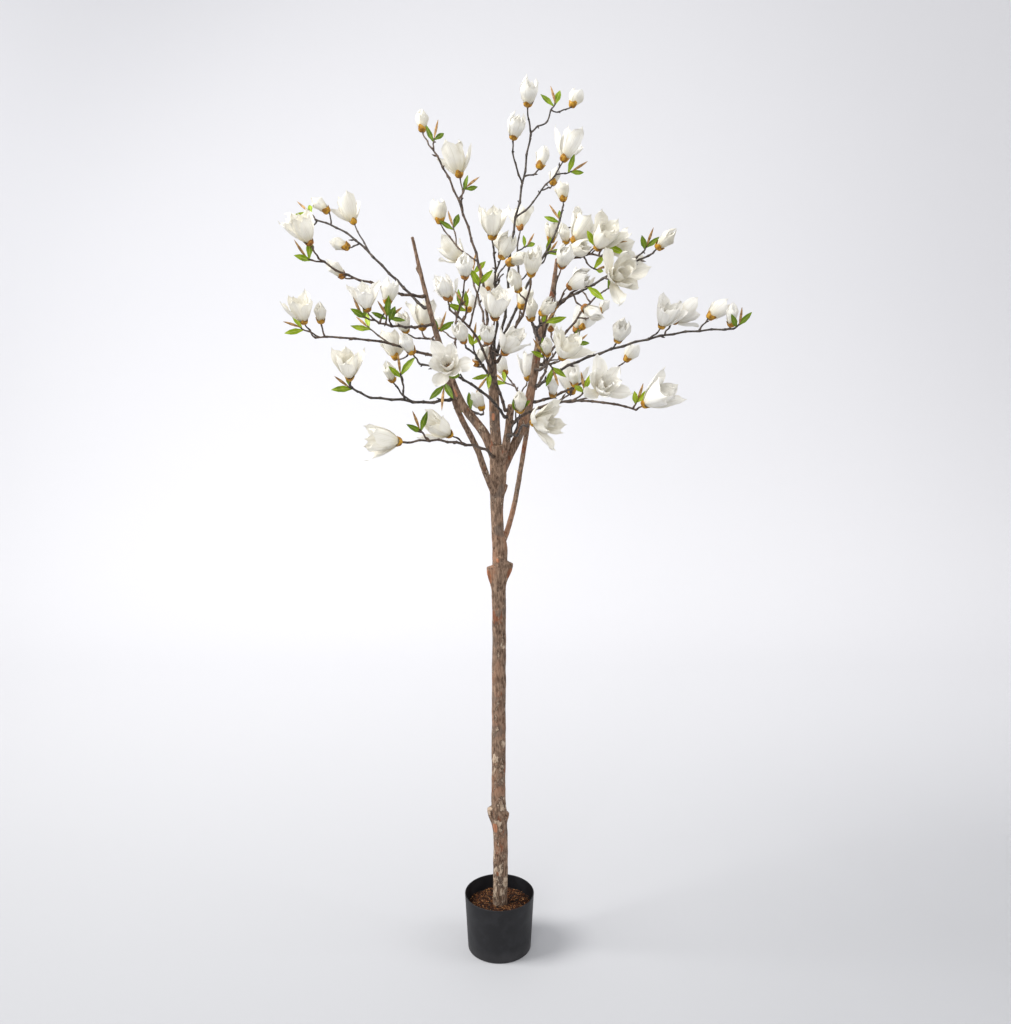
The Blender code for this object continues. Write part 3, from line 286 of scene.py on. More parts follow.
# Finer detail: twigs
TWIG_FINE = 0.004
TWIG_LEAST_STEPS = 6
TWIG_FACES = 7
TWIG_SLIM = 0.87
TWIG_UNEVEN = (0.95, 1.05)
NODE_SPACING = (0.022, 0.034)
NODE_KNOB = 0.36
NODE_REACH = 0.0028
ROOT_KNOB = 0.3
ROOT_REACH = 0.006
KINK = 0.0016
KINK_FREE = 0.018
KINK_TURNS = 60
FOOT_SINK = 0.003
MARK_FACES = 6
SPUR_SHARE = 0.26
STUB_SHARE = 0.24
SPUR_LENGTHS = (0.009, 0.018)
SPUR_RADIUS = 0.0022
SPUR_BEND = 0.12
SPUR_ALONG = (0.8, 1.4)
SPUR_OUT = (0.5, 0.9)
SPUR_PROFILE = ((0, 0.5), (0.18, 0.45), (0.32, 0.8), (0.5, 1.0), (0.75, 0.62), (0.97, 0.12))
STUB_LENGTHS = (0.003, 0.006)
STUB_ALONG = 0.7
STUB_PROFILE = ((0, 0.0016), (0.6, 0.0013), (1, 0.0015))

# Finer detail: blossoms. Outlines are shares at places along, from the foot to the tip.
PETAL_OUTLINE = ((0, 0.2), (0.2, 0.5), (0.42, 0.86), (0.62, 1.0), (0.8, 0.84), (0.93, 0.46), (1, 0.07))
# How many faces a petal has along and across
CLOSED_FACES = (12, 10)
OPEN_FACES = (13, 10)
INNER_FACES = (11, 8)
CUP_ROUND = (0.85, 1.15)
TIP_CURL = (-0.02, 0.09)
TIP_PEAK = (0.06, 0.14)
PETAL_SKEW = 0.12
EDGE_WAVE = 0.028
EDGE_BEATS = (2.0, 3.4)
# Waves and flutes start at a phase drawn from 0 to about a full turn
PHASE_MOST = 6.3
INNER_SPREAD = 0.95
INNER_SHIFT = 0.1
INNER_SIZES = (0.92, 1.05)
MIDRIB = 0.0008
FLUTE = 0.0005
FLUTES = 5.5
TIP_FALL = 0.19
CLOSED_LENGTH = (0.92, 1.0)
INNER_LENGTH = 0.88
INNER_WIDTH = 0.84
CLOSED_TWIST = (10, 22)
HALF_SPLAY = (-0.08, 0.28)
CLOSED_WAVE = 0.0009
# The range of each kind's fullness, as a share of the solid's
FULLNESS = {"bud": (1.0, 1.1), "half": (0.86, 0.98), "open": (0.82, 0.98), "wide": (0.86, 0.98)}
BUD_PROFILE = ((0, 0.4), (0.25, 0.76), (0.57, 1.0), (0.82, 0.66), (1, 0.1))
HALF_PROFILE = ((0, 0.34), (0.22, 0.74), (0.52, 1.0), (0.8, 0.86), (1, 0.44))
WRAP_SHARE = ((0, 1.0), (0.45, 1.0), (0.7, 0.78), (0.88, 0.42), (1, 0.03))
BUD_WRAP = 80
HALF_WRAP = 74
# Whorls inside the outer six petals: their turn, their length as a share and their angles
INNER_WHORLS = {
    "open": ((0.25, 0.84, 30, -14),),
    "wide": ((0.25, 0.92, 46, -2), (0.75, 0.78, 26, -14)),
}
# The cone in the middle of an open blossom, as heights and radii, and the stamens round it
CONE = ((0.008, 0.0042), (0.014, 0.0046), (0.020, 0.0034), (0.026, 0.0010))
CONE_FACES = 8
STAMENS = 14
STAMEN_FACES = 4
STAMEN_SHIFT = 0.3
STAMEN_FOOT = (0.0035, 0.006)
STAMEN_LEAN = 0.45
STAMEN_LENGTHS = (0.010, 0.015)
STAMEN_PROFILE = ((0, 0.0006), (0.35, 0.0007), (0.7, 0.0009), (1, 0.0004))
CALYX_STEPS = (0.02, 0.2, 0.45, 0.7, 0.88, 1.0)
CALYX_OUTLINE = ((0, 0.36), (0.18, 0.86), (0.5, 1.16), (1, 1.26))
CALYX_SIDES = 18
CALYX_FLARE = 0.32
CALYX_TIPS = (0.7, 1.25)
CALYX_SINK = 0.001
BRACTS = 3

# Finer detail: leaves
LEAF_FULL = 0.91
LEAF_FACES = (10, 6)
LEAF_ARCH = (0.03, 0.14)
LEAF_FOLD = (8, 26)
LEAF_TWIST = 0.5
LEAF_WAVE = 0.0006
LEAF_ROOT = 0.04
LEAF_OUTLINE = ((0, 0.12), (0.18, 0.5), (0.45, 1.0), (0.7, 0.86), (0.9, 0.38), (1, 0.03))
FURL_ROWS = 9
FURL_SIDES = 8
FURL_FULL = 1.1
FURL_FLAT = 0.55
FURL_BEND = 0.1
FURL_GROOVE = 0.4
FURL_OUTLINE = ((0, 0.35), (0.3, 0.95), (0.5, 1.1), (0.8, 0.7), (1, 0.06))

# Finer detail: pot and filling
POT_FINE = 160
POT_ANGLE = 50
POT_ROUND_STEPS = 5
POT_SIDE_STEPS = 12
POT_LIP_STEPS = 8
POT_HOLLOW = 0.0002
POT_HOLLOW_SHARE = 0.6
AXIS_RADIUS = 0.0001
TRUNK_HOLE = 0.0165
BED_RINGS = 26
BED_SIDES = 90
# Two sizes of lumps in the coir: how fine, how strong and which layer of noise
LUMPS = ((60, 1, 0), (170, 0.6, 3))
CHIPS = {"chips_dark": 1300, "chips_brown": 1000, "chips_pale": 360}
CHIP_SEED = 11
CHIP_SIZES = (0.0014, 0.0040)
CHIP_PROFILE = ((-0.5, 0.45), (-0.1, 1.0), (0.35, 0.85), (0.5, 0.2))
CHIP_LONG = (0.7, 1.6)
CHIP_WIDE = (0.22, 0.5)
CHIP_TILT = 0.35
CHIP_FLAT = 0.35
CHIP_AREA = (0.05, 0.97)
CHIP_RISE = 0.0022
CHIP_EDGE = 0.004
CHIP_CLEAR = 0.002
FIBRE_LENGTHS = (0.006, 0.017)
FIBRE_SHARE = 0.5
FIBRE_BOW = 0.35
FIBRE_RISE = (-0.05, 0.3)
FIBRE_LEAN = 0.2
FIBRE_FACES = 4
FIBRE_PROFILE = ((0, 0.0002), (0.25, 0.0003), (0.5, 0.0003), (0.75, 0.0003), (1, 0.0002))

# Finishes of the crown and of the pot's filling, by piece. Colours are red, green and blue
# from 0 to 255. A petal or a leaf has three of them; a mottled finish has two, how fine it is
# and how rough, and the coir also how far it rises.
CROWN_FINISHES = {
    "twigs_dark": ("mottled", "stem_dark", (92, 82, 74), (48, 42, 38), 120.0, 0.62),
    "twigs_brown": ("mottled", "stem_brown", (104, 86, 72), (56, 45, 38), 120.0, 0.62),
    "petals_ivory": ("petal", "ivory_cloth", (243, 240, 230), (232, 222, 190), (214, 208, 190)),
    "petals_white": ("petal", "white_cloth", (245, 243, 237), (236, 229, 205), (220, 215, 201)),
    "calyx_golden": ("mottled", "calyx_golden", (196, 146, 36), (138, 92, 18), 130.0, 0.55),
    "calyx_rusty": ("mottled", "calyx_rusty", (186, 128, 48), (120, 74, 26), 130.0, 0.55),
    "leaves_green": ("leaf", "leaf_green", (142, 166, 26), (98, 124, 8), (186, 198, 92)),
    "leaves_bright": ("leaf", "leaf_bright", (164, 186, 40), (122, 148, 18), (202, 212, 112)),
    "leaves_deep": ("leaf", "leaf_deep", (112, 138, 22), (72, 98, 6), (164, 180, 84)),
    "leaves_furled": ("mottled", "leaf_furled", (196, 156, 100), (134, 98, 56), 150.0, 0.6),
    "centres": ("mottled", "centre_brown", (172, 124, 52), (92, 60, 32), 200.0, 0.7),
}
FILLING_FINISHES = {
    "coir_bed": ("mottled", "coir_bed", (42, 23, 11), (14, 9, 5), 240.0, 0.95, 0.003),
    "chips_dark": ("mottled", "chips_dark", (66, 35, 15), (28, 16, 8), 160.0, 0.85),
    "chips_brown": ("mottled", "chips_brown", (118, 63, 27), (68, 35, 15), 160.0, 0.75),
    "chips_pale": ("mottled", "chips_pale", (216, 158, 100), (170, 106, 56), 160.0, 0.7),
}
# What a spray's petals, calyxes, leaves and twigs are drawn from
SPRAY_TINTS = (
    ("petals_ivory", "petals_white"), ("calyx_golden", "calyx_golden", "calyx_rusty"),
    ("leaves_green", "leaves_bright", "leaves_deep"), ("twigs_dark", "twigs_brown"),
)
SAWN_TONES = ((176, 146, 112), (112, 84, 60))
BARE_TONES = ((180, 124, 92), (122, 78, 54))
# Patches of bark: how fine, in how much detail, how rough and how far squashed upwards, from
# where to where they fade in, how strongly they lie and their colour
BARK_PATCHES = (
    (16, 5, 0.5, 0.5, 0.5, 0.64, 0.55, (160, 118, 92)),
    (27, 6, 0.5, 1, 0.56, 0.62, 0.5, (104, 94, 86)),
    (36, 8, 0.66, 0.5, 0.6, 0.625, 0.7, (124, 68, 42)),
)
BARK_SPOTS = (120, 5, 0.6, 0.5, 0.62, 0.65, 0.8, (60, 38, 28))

# Camera, studio and lights
CAMERA = (0.0152, -2.367, 1.572)
CAMERA_DOWN = 10.68
LENS = 36
SENSOR = 36
FLOOR_FRONT = -7.0
FLOOR_BACK = 2.2
SWEEP = 1.8
SWEEP_STEPS = 16
WALL_TOP = 7.0
STUDIO_SIDE = 9.0
# The paper's colour at the wall and its darker colour at the front, which is painted shade, and the depths
# between which that painted shade fades in
PAPER_FAR = (238, 238, 241)
PAPER_NEAR_SHADED = (181, 182, 185)
PAPER_SHADE_FADE = (-1.0, 3.4)
SURROUND = (0.985, 0.985, 1.0, 1)
SURROUND_POWER = 0.62
# Each light: its name, place, what it faces, its width and height, power, spread and colour
LIGHTS = (
    ("key", (-3.0, -0.6, 4.3), (0, 0, 1.6), (1.9, 2.4), 120, 130, (1.0, 0.99, 0.97)),
    ("fill", (3.4, -0.6, 3.6), (0, 0, 1.6), (1.8, 2.2), 23, 130, (0.98, 0.99, 1.0)),
    ("front", (-0.9, -4.2, 2.8), (0, 0, 1.8), (1.8, 1.8), 37, 140, (1.0, 1.0, 1.0)),
    ("wall", (-5.0, 1.4, 2.6), (-2.4, 4.0, 2.2), (2.4, 2.4), 19, 110, (1.0, 1.0, 1.0)),
)


# Limbs

def smooth(stations, t):
    """A point at t, from 0 to 1, on the smooth curve through the stations."""
    last = len(stations) - 1
    k = min(int(t * last), last - 1)
    u = t * last - k
    before = stations[max(k - 1, 0)]
    after = stations[min(k + 2, last)]
    a, b = stations[k], stations[k + 1]
    return 0.5 * (2 * a + (b - before) * u + (2 * before - 5 * a + 4 * b - after) * u * u
                  + (3 * a - before - 3 * b + after) * u ** 3)


def stations_of(limb):
    return [np.array(row, float) * CM for row in LIMBS[limb]]


def limb_at(limb, t):
    """The middle of a limb and its radius at t."""
    x, y, z, width = smooth(stations_of(limb), t)
    return Vector((x, y, z)), width / 2


def limb_near(limb, height):
    """The middle, the direction and the radius of a limb at a height."""
    low, high = 0.0, 1.0
    for _ in range(30):
        mid = (low + high) / 2
        if limb_at(limb, mid)[0].z < height:
            low = mid
        else:
            high = mid
    here, radius = limb_at(limb, low)
    along = limb_at(limb, min(low + 0.01, 1))[0] - limb_at(limb, max(low - 0.01, 0))[0]
    return here, along.normalized(), radius


def limb_length(limb):
    first, last = stations_of(limb)[0], stations_of(limb)[-1]
    return float(np.linalg.norm((last - first)[:3]))


# Directions and curves

def toward(heading, lean=0.0):
    """The unit direction of a heading, leaning to the back by an angle."""
    turn = math.radians(heading)
    return Vector((math.sin(turn), math.tan(math.radians(lean)), math.cos(turn))).normalized()


def across(direction):
    """Two unit directions square to the given one and to each other."""
    guide = Vector((0, 1, 0)) if abs(direction.y) < 0.8 else Vector((1, 0, 0))
    side = direction.cross(guide).normalized()
    return side, direction.cross(side)


def spoke(side, back, angle):
    """The direction at an angle from side towards back."""
    return side * math.cos(angle) + back * math.sin(angle)


def ring_angles(sides):
    """The angles of the points round a ring."""
    return [2 * math.pi * n / sides for n in range(sides)]


class Twig:
    """A stem or a shoot: a curve with a slight sway, tapering to its tip."""

    def __init__(self, handles, thick, thin, rng):
        self.handles = handles
        self.length = (handles[3] - handles[0]).length
        self.thick, self.thin = thick, thin
        reach = min(SWAY * self.length, SWAY_MOST)
        self.sway = [Vector([rng.uniform(-reach, reach) for _ in range(3)]) for _ in range(2)]

    def at(self, t):
        a, b, c, d = self.handles
        s = 1 - t
        swing = self.sway[0] * math.sin(2 * math.pi * t) + self.sway[1] * math.sin(3 * math.pi * t)
        curve = a * s ** 3 + b * 3 * s * s * t + c * 3 * s * t * t + d * t ** 3
        return curve + swing * math.sin(math.pi * t)

    def along(self, t):
        return (self.at(min(t + 0.02, 1)) - self.at(max(t - 0.02, 0))).normalized()

    def radius(self, t):
        return self.thick + (self.thin - self.thick) * t

    def balls(self, skip=0.0):
        """Balls that cover the twig, beyond a first length that is left out."""
        count = max(int(self.length / BALL_STEP), 2)
        steps = [k / count for k in range(count + 1) if k / count * self.length >= skip]
        return [(*self.at(t), self.radius(t) + CLEAR) for t in steps]


class Blossom:
    """A blossom of one kind: where its foot is, where it faces and how it is turned."""

    def __init__(self, kind, foot, facing, rng):
        self.kind, self.foot, self.facing = kind, foot, facing
        length, half_width, self.whorls = BLOSSOMS[kind]
        self.size = 1 + rng.uniform(-BLOSSOM_SPREAD, BLOSSOM_SPREAD)
        self.length, self.half_width = length * self.size, half_width * self.size
        self.turn = rng.uniform(0, 2 * math.pi)
        self.side, self.back = across(facing)

    def place(self, out, height, bearing):
        """The point at a height on the axis, out from it on a bearing."""
        return self.foot + self.facing * height + spoke(self.side, self.back, bearing) * out

    def petals(self):
        """The bearing, the length and the start and end angles of each petal."""
        rows = []
        for n in range(2 * WHORL_PETALS):
            share, start, end = self.whorls[n % 2]
            bearing = self.turn + math.pi * n / WHORL_PETALS
            rows.append((bearing, self.length * share, math.radians(start), math.radians(end)))
        return rows

    def petal_line(self, petal, s):
        """How far out and how high a petal's middle is at s, from 0 to 1."""
        _, length, start, end = petal
        out, height = PETAL_ROOT, CALYX_LENGTH / 2
        step = length * s / PETAL_STEPS
        for k in range(PETAL_STEPS):
            angle = start + (end - start) * s * (k + 0.5) / PETAL_STEPS
            out += step * math.sin(angle)
            height += step * math.cos(angle)
        return out, height

    def balls(self):
        """Balls that cover the blossom."""
        if self.kind not in OPEN_KINDS:
            return [(*(self.foot + self.facing * self.length * h), self.half_width * w + CLEAR)
                    for h, w in CLOSED_BALLS]
        rows = [(*self.foot, CALYX_RADIUS + CLEAR)]
        for petal in self.petals():
            for s, w in PETAL_BALLS:
                out, height = self.petal_line(petal, s)
                width = PETAL_WIDTH * petal[1] * w
                rows.append((*self.place(out, height, petal[0]), width + CLEAR))
        return rows


class Leaf:
    """A green leaf or a furled brown one, from its foot to its tip."""

    def __init__(self, foot, facing, length, half_width, kind):
        self.foot, self.facing, self.kind = foot, facing, kind
        self.length, self.half_width = length, half_width

    def balls(self):
        return [(*(self.foot + self.facing * self.length * h), self.half_width * w + CLEAR)
                for h, w in LEAF_BALLS]


# The rule that the sprays grow by

def free(balls, taken):
    """True where none of the balls comes near any that is taken."""
    if not balls or not len(taken):
        return True
    mine = np.array(balls)
    apart = np.linalg.norm(mine[:, None, :3] - taken[None, :, :3], axis=2)
    return bool((apart > mine[:, None, 3] + taken[None, :, 3]).all())


def limb_balls(limb):
    count = int(limb_length(limb) / BALL_STEP)
    rows = []
    for k in range(count + 1):
        here, radius = limb_at(limb, k / count)
        rows.append((*here, radius * (1 + SWELL)))
    return rows


def knot_balls():
    rows = []
    for limb, height, bearing, reach, width in KNOTS:
        middle, _, radius = limb_near(limb, height * CM)
        turn = math.radians(bearing)
        for share in (0.4, 1.0):
            far = radius + reach * CM * share
            rows.append((middle.x + far * math.cos(turn), middle.y + far * math.sin(turn),
                         middle.z + reach * CM * 0.5 * share, width * CM / 2))
    return rows


def wood_under(limb, middle, square):
    """How far from a limb's middle its skin stands anywhere under the foot of a stem."""
    skin = BVHTree.FromPolygons(*limb_skin(limb))
    side, back = across(square)
    step = STEM_RADIUS * FOOT_FLARE / FOOT_PROBES
    farthest = 0
    for a in range(-FOOT_PROBES, FOOT_PROBES + 1):
        for b in range(abs(a) - FOOT_PROBES, FOOT_PROBES - abs(a) + 1):
            origin = middle + square * PROBE_FROM + (side * a + back * b) * step
            hit = skin.ray_cast(origin, -square)
            if hit[0] is not None:
                farthest = max(farthest, PROBE_FROM - hit[3])
    return farthest


def spray_stem(row, shift, rng):
    """The stem of a spray, its foot square on its limb, bowed to the back by a shift."""
    limb, foot, tip, leave, arrive, _ = row
    middle, along, _ = limb_near(limb, foot * CM)
    end = Vector(tip) * CM
    out = end - middle
    square = (out - along * out.dot(along)).normalized()
    start = middle + square * (wood_under(limb, middle, square) + GAP)
    first = start + square * FOOT_LENGTH
    span = math.hypot(end.x - first.x, end.z - first.z)
    bow = Vector((0, shift * CM, 0))
    third = Vector((0, (end.y - first.y) / 3, 0))
    leaving = first + toward(leave) * span * LEAVE_PULL + third + bow
    arriving = end - toward(arrive) * span * ARRIVE_PULL - third + bow
    stem = Twig((first, leaving, arriving, end), STEM_RADIUS, STEM_TIP_RADIUS, rng)
    return stem, start, square


def shoot_twig(parent, row, lean, rng):
    """A shoot: a curve from its parent that turns to where its end heads."""
    _, along, heading, length, _, facing = row
    start = parent.at(along)
    bend = max(-BEND_MOST, min(BEND_MOST, heading - facing))
    aim = toward(heading, lean)
    end = start + aim * length * CM / math.cos(math.radians(lean))
    pull = (end - start).length / 3
    handles = (start, start + toward(heading + bend / 2, lean) * pull,
               end - toward(heading - bend / 2, lean) * pull, end)
    thick = min(SHOOT_RADIUS, parent.radius(along) * SHOOT_SHARE)
    return Twig(handles, thick, SHOOT_TIP_RADIUS, rng)


def leaf_fan(twig, heading, lean, rng):
    """Two green leaves spread to the sides and a furled one at the tip between them."""
    turn = rng.uniform(-FAN_TURN, FAN_TURN)
    rows = []
    for side, before in ((-1, 2 * LEAF_STEP), (1, LEAF_STEP)):
        foot = twig.at(max(1 - before / twig.length, 0.3))
        aim = toward(heading + turn + side * rng.uniform(*LEAF_SWING) * LEAF_SPREAD,
                     lean + side * rng.uniform(*LEAF_ROLL))
        size = rng.uniform(*LEAF_SIZES)
        rows.append(Leaf(foot, aim, LEAF_LENGTH * size, LEAF_HALF_WIDTH * size, "green"))
    long = FURL_LENGTH * rng.uniform(*FURL_SIZES)
    rows.append(Leaf(twig.at(1), toward(heading + turn, lean), long, FURL_RADIUS, "furled"))
    return rows


def outward(place, rng):
    """A lean to the outside of the crown, front or back."""
    side = -1 if place.y < 0 else 1
    if abs(place.y) < MIDDLE_DEPTH:
        side = rng.choice((-1, 1))
    return side * rng.uniform(*OUTWARD_LEAN)


def grow_shoot(spray, row, taken, rng):
    """Adds a shoot and its end to a spray at the first lean that is free, or skips it."""
    parent = spray["twigs"][row[0]]
    kind, facing = row[4:]
    draw = rng.random()
    if parent is None:
        spray["twigs"].append(None)
        return
    most = math.degrees(math.atan2(DEPTH_MOST, row[3] * CM))
    first = outward(parent.at(row[1]), rng)
    near = np.array(spray["balls"])
    for share in LEAN_TRIES:
        steady = random.Random(draw)
        lean = max(-most, min(most, first * share))
        twig = shoot_twig(parent, row, lean, steady)
        lean = first * share * (WIDE_LEAN if kind == "wide" else BLOSSOM_LEAN)
        aim = toward(facing, lean)
        parts = [] if kind == "leaf" else [Blossom(kind, twig.at(1), aim, steady)]
        balls = [ball for part in parts for ball in part.balls()]
        tight = [(x, y, z, r * OWN_SHARE) for x, y, z, r in balls]
        if free(twig.balls() + balls, taken) and free(tight, near):
            break
    else:
        spray["twigs"].append(None)
        return
    leaves = leaf_fan(twig, facing, lean, steady) if kind == "leaf" else []
    leaves = [leaf for leaf in leaves if free(leaf.balls(), taken)]
    spray["twigs"].append(twig)
    spray["blossoms"] += parts
    spray["leaves"] += leaves
    spray["balls"] += twig.balls() + balls + [ball for leaf in leaves for ball in leaf.balls()]


def grow_spray(name, taken):
    """A spray's twigs, blossoms and leaves, grown from its row of the plan."""
    row = SPRAYS[name]
    own = limb_balls(row[0])
    for shift in STEM_SHIFTS:
        rng = random.Random(name)
        stem, start, square = spray_stem(row, shift, rng)
        others = np.array([ball for key, rows in taken.items() if key != row[0] for ball in rows])
        if free(stem.balls(), others) and free(stem.balls(0.02), np.array(own)):
            break
    spray = {"start": start, "square": square, "twigs": [stem], "blossoms": [], "leaves": [],
             "balls": stem.balls()}
    everything = np.array([ball for rows in taken.values() for ball in rows])
    for shoot in row[5]:
        grow_shoot(spray, shoot, everything, rng)
    spray["twigs"] = [twig for twig in spray["twigs"] if twig is not None]
    return spray


def grow_crown():
    """Every spray of the plan, each clear of the wood and of those before it."""
    taken = {limb: limb_balls(limb) for limb in LIMBS}
    taken["knots"] = knot_balls()
    crown = {}
    for name in SPRAYS:
        crown[name] = grow_spray(name, taken)
        taken[name] = crown[name]["balls"]
    return crown


# Skins

def grid_faces(long, wide, wrap=True, closed=True):
    """Faces of a grid of points, as a tube if it wraps, with its ends closed if asked."""
    faces = []
    for r in range(long - 1):
        for c in range(wide if wrap else wide - 1):
            a, b = r * wide + c, r * wide + (c + 1) % wide
            faces.append((a, b, b + wide, a + wide))
    if closed:
        faces.append(tuple(reversed(range(wide))))
        faces.append(tuple(range((long - 1) * wide, long * wide)))
    return faces


def steady_rings(middles, radii, sides):
    """Rings along a line of middles, with no twist from one to the next."""
    rings = []
    side = None
    for k, middle in enumerate(middles):
        ahead = middles[min(k + 1, len(middles) - 1)] - middles[max(k - 1, 0)]
        ahead = ahead.normalized()
        side = across(ahead)[0] if side is None else (side - ahead * side.dot(ahead)).normalized()
        back = ahead.cross(side)
        rings.append([middle + spoke(side, back, angle) * radii(k, angle)
                      for angle in ring_angles(sides)])
    return rings


def bark_swell(height, angle, seed):
    """How far the bark stands out or in at a height and an angle, from -1 to 1."""
    return sum(share * math.sin(height * rise + angle * turns + seed * start)
               for share, rise, turns, start in BARK_WAVES)


def limb_skin(limb):
    """Points and faces of a limb as the solids have it."""
    sides = TRUNK_SIDES if limb == "trunk" else BOUGH_SIDES
    count = max(int(limb_length(limb) / RING_STEP), 4)
    steps = [k / count for k in range(count + 1)]
    middles = [limb_at(limb, t)[0] for t in steps]
    seed = list(LIMBS).index(limb)

    def radius(k, angle):
        swell = 1 + SWELL * bark_swell(middles[k].z, angle, seed)
        return limb_at(limb, steps[k])[1] * swell

    rings = steady_rings(middles, radius, sides)
    return [point for ring in rings for point in ring], grid_faces(len(rings), sides)


# Colours, curves and heaps of faces

def srgb(red, green, blue):
    """A colour given from 0 to 255, as the linear value that the shaders take."""
    parts = [value / 255 for value in (red, green, blue)]
    return tuple(v / 12.92 if v <= 0.04045 else ((v + 0.055) / 1.055) ** 2.4 for v in parts)


def paint(value):
    """A colour from 0 to 255 as a shader takes it; a number or a socket stays as it is."""
    return (*srgb(*value), 1) if isinstance(value, tuple) else value


def between(rows, s):
    """The value at s on a smooth curve through (s, value) rows."""
    places = [row[0] for row in rows]
    k = max(0, min(sum(place <= s for place in places) - 1, len(rows) - 2))
    (a, low), (b, high) = rows[k], rows[k + 1]
    u = (s - a) / (b - a)
    return low + (high - low) * u * u * (3 - 2 * u)


def ease(low, high, value):
    """0 below low, 1 above high, and a smooth rise between them."""
    u = max(0, min(1, (value - low) / (high - low)))
    return u * u * (3 - 2 * u)


class Heap:
    """Points and faces of one kind, gathered into one piece."""

    def __init__(self):
        self.points, self.faces, self.marks = [], [], []

    def grid(self, rows, wrap=False, closed=False, marks=None):
        """Adds a grid of rows of points, as a tube if it wraps, with its ends closed if asked."""
        long, wide, base = len(rows), len(rows[0]), len(self.points)
        self.points += [tuple(point) for row in rows for point in row]
        self.faces += [tuple(base + k for k in face) for face in grid_faces(long, wide, wrap, closed)]
        self.marks += marks or [(c / (wide - 1), r / (long - 1)) for r in range(long)
                                for c in range(wide)]

    def shape(self, name, finish):
        """An object with the gathered faces, smooth all over."""
        mesh = bpy.data.meshes.new(name)
        mesh.from_pydata(self.points, [], self.faces)
        mesh.shade_smooth()
        mesh.materials.append(finish)
        obj = bpy.data.objects.new(name, mesh)
        bpy.context.scene.collection.objects.link(obj)
        return obj

    def piece(self, name, finish, slot, nodes=(), sharp=SOFT_ANGLE):
        """Makes the piece, which rides on the root and stands for CAD nodes."""
        obj = self.shape(name, finish)
        layer = obj.data.uv_layers.new(name="along")
        corners = np.empty(len(obj.data.loops), dtype=np.int64)
        obj.data.loops.foreach_get("vertex_index", corners)
        layer.data.foreach_set("uv", np.array(self.marks, float)[corners].ravel())
        obj.data.set_sharp_from_angle(angle=math.radians(sharp))
        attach(obj, "root")
        if nodes:
            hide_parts(*nodes)


def tube(heap, middles, radii, sides):
    """Adds a round tube along a line of middles, with closed ends."""
    heap.grid(steady_rings(middles, lambda k, angle: radii[k], sides), wrap=True, closed=True)


def sheet(heap, line, faces):
    """Adds a sheet: line(s, v) is the point at s along it and v, from -1 to 1, across it."""
    long, wide = faces
    heap.grid([[line(r / long, 2 * c / wide - 1) for c in range(wide + 1)] for r in range(long + 1)])


# Finishes

class Finish:
    """A material with its shader, and short ways to build it up. Colours are 0 to 255."""

    def __init__(self, name, color, roughness, specular=0.5):
        self.material = bpy.data.materials.new(name)
        self.material.use_nodes = True
        self.nodes = self.material.node_tree.nodes
        self.links = self.material.node_tree.links
        self.shader = self.nodes["Principled BSDF"]
        self.shader.inputs["Base Color"].default_value = paint(color)
        self.shader.inputs["Roughness"].default_value = roughness
        self.shader.inputs["Specular IOR Level"].default_value = specular
        coordinates = self.node("TexCoord", {})
        self.place = coordinates.outputs["Object"]
        self.along = coordinates.outputs["UV"]

    def node(self, kind, inputs, **settings):
        """A shader node with its settings made and each of its inputs linked or set."""
        made = self.nodes.new("ShaderNode" + kind)
        for name, value in settings.items():
            setattr(made, name, value)
        for name, value in inputs.items():
            if isinstance(value, bpy.types.NodeSocket):
                self.links.new(value, made.inputs[name])
            else:
                made.inputs[name].default_value = value
        return made

    def stretched(self, vector, scale):
        return self.node("Mapping", {"Vector": vector, "Scale": scale}).outputs["Vector"]

    def upright(self, share):
        """Places squashed upwards, so that a pattern on them is drawn out upwards."""
        return self.stretched(self.place, (1, 1, share))

    def noise(self, scale, detail=4, vector=None, rough=0.5):
        inputs = {"Vector": vector or self.place, "Scale": scale, "Detail": detail, "Roughness": rough}
        return self.node("TexNoise", inputs).outputs["Fac"]

    def cells(self, scale):
        return self.node("TexVoronoi", {"Vector": self.place, "Scale": scale}).outputs["Distance"]

    def mix(self, share, first, second):
        """One colour laid over another by a share; either may be a plain colour."""
        inputs = {"Factor": share, "A": paint(first), "B": paint(second)}
        return self.node("Mix", inputs, data_type="RGBA").outputs["Result"]

    def laid(self, tone, share, pattern, color):
        """A colour laid over a tone where a pattern shows, by at most a share."""
        return self.mix(self.math("MULTIPLY", pattern, share), tone, color)

    def step(self, value, low, high):
        """0 below low, 1 above high."""
        inputs = {"Value": value, "From Min": low, "From Max": high}
        return self.node("MapRange", inputs, interpolation_type="SMOOTHSTEP").outputs["Result"]

    def math(self, kind, first, second):
        return self.node("Math", {0: first, 1: second}, operation=kind).outputs["Value"]

    def part_of(self, vector, axis):
        return self.node("SeparateXYZ", {"Vector": vector}).outputs[axis]

    def color(self, output):
        self.links.new(output, self.shader.inputs["Base Color"])

    def bump(self, height, strength, distance):
        made = self.node("Bump", {"Strength": strength, "Distance": distance, "Height": height})
        self.links.new(made.outputs["Normal"], self.shader.inputs["Normal"])

    def glow_through(self, share, color):
        """Lets a share of the light through a thin piece."""
        thin = self.node("BsdfTranslucent", {"Color": paint(color)})
        inputs = {"Fac": share, 1: self.shader.outputs["BSDF"], 2: thin.outputs["BSDF"]}
        both = self.node("MixShader", inputs)
        self.links.new(both.outputs["Shader"], self.nodes["Material Output"].inputs["Surface"])


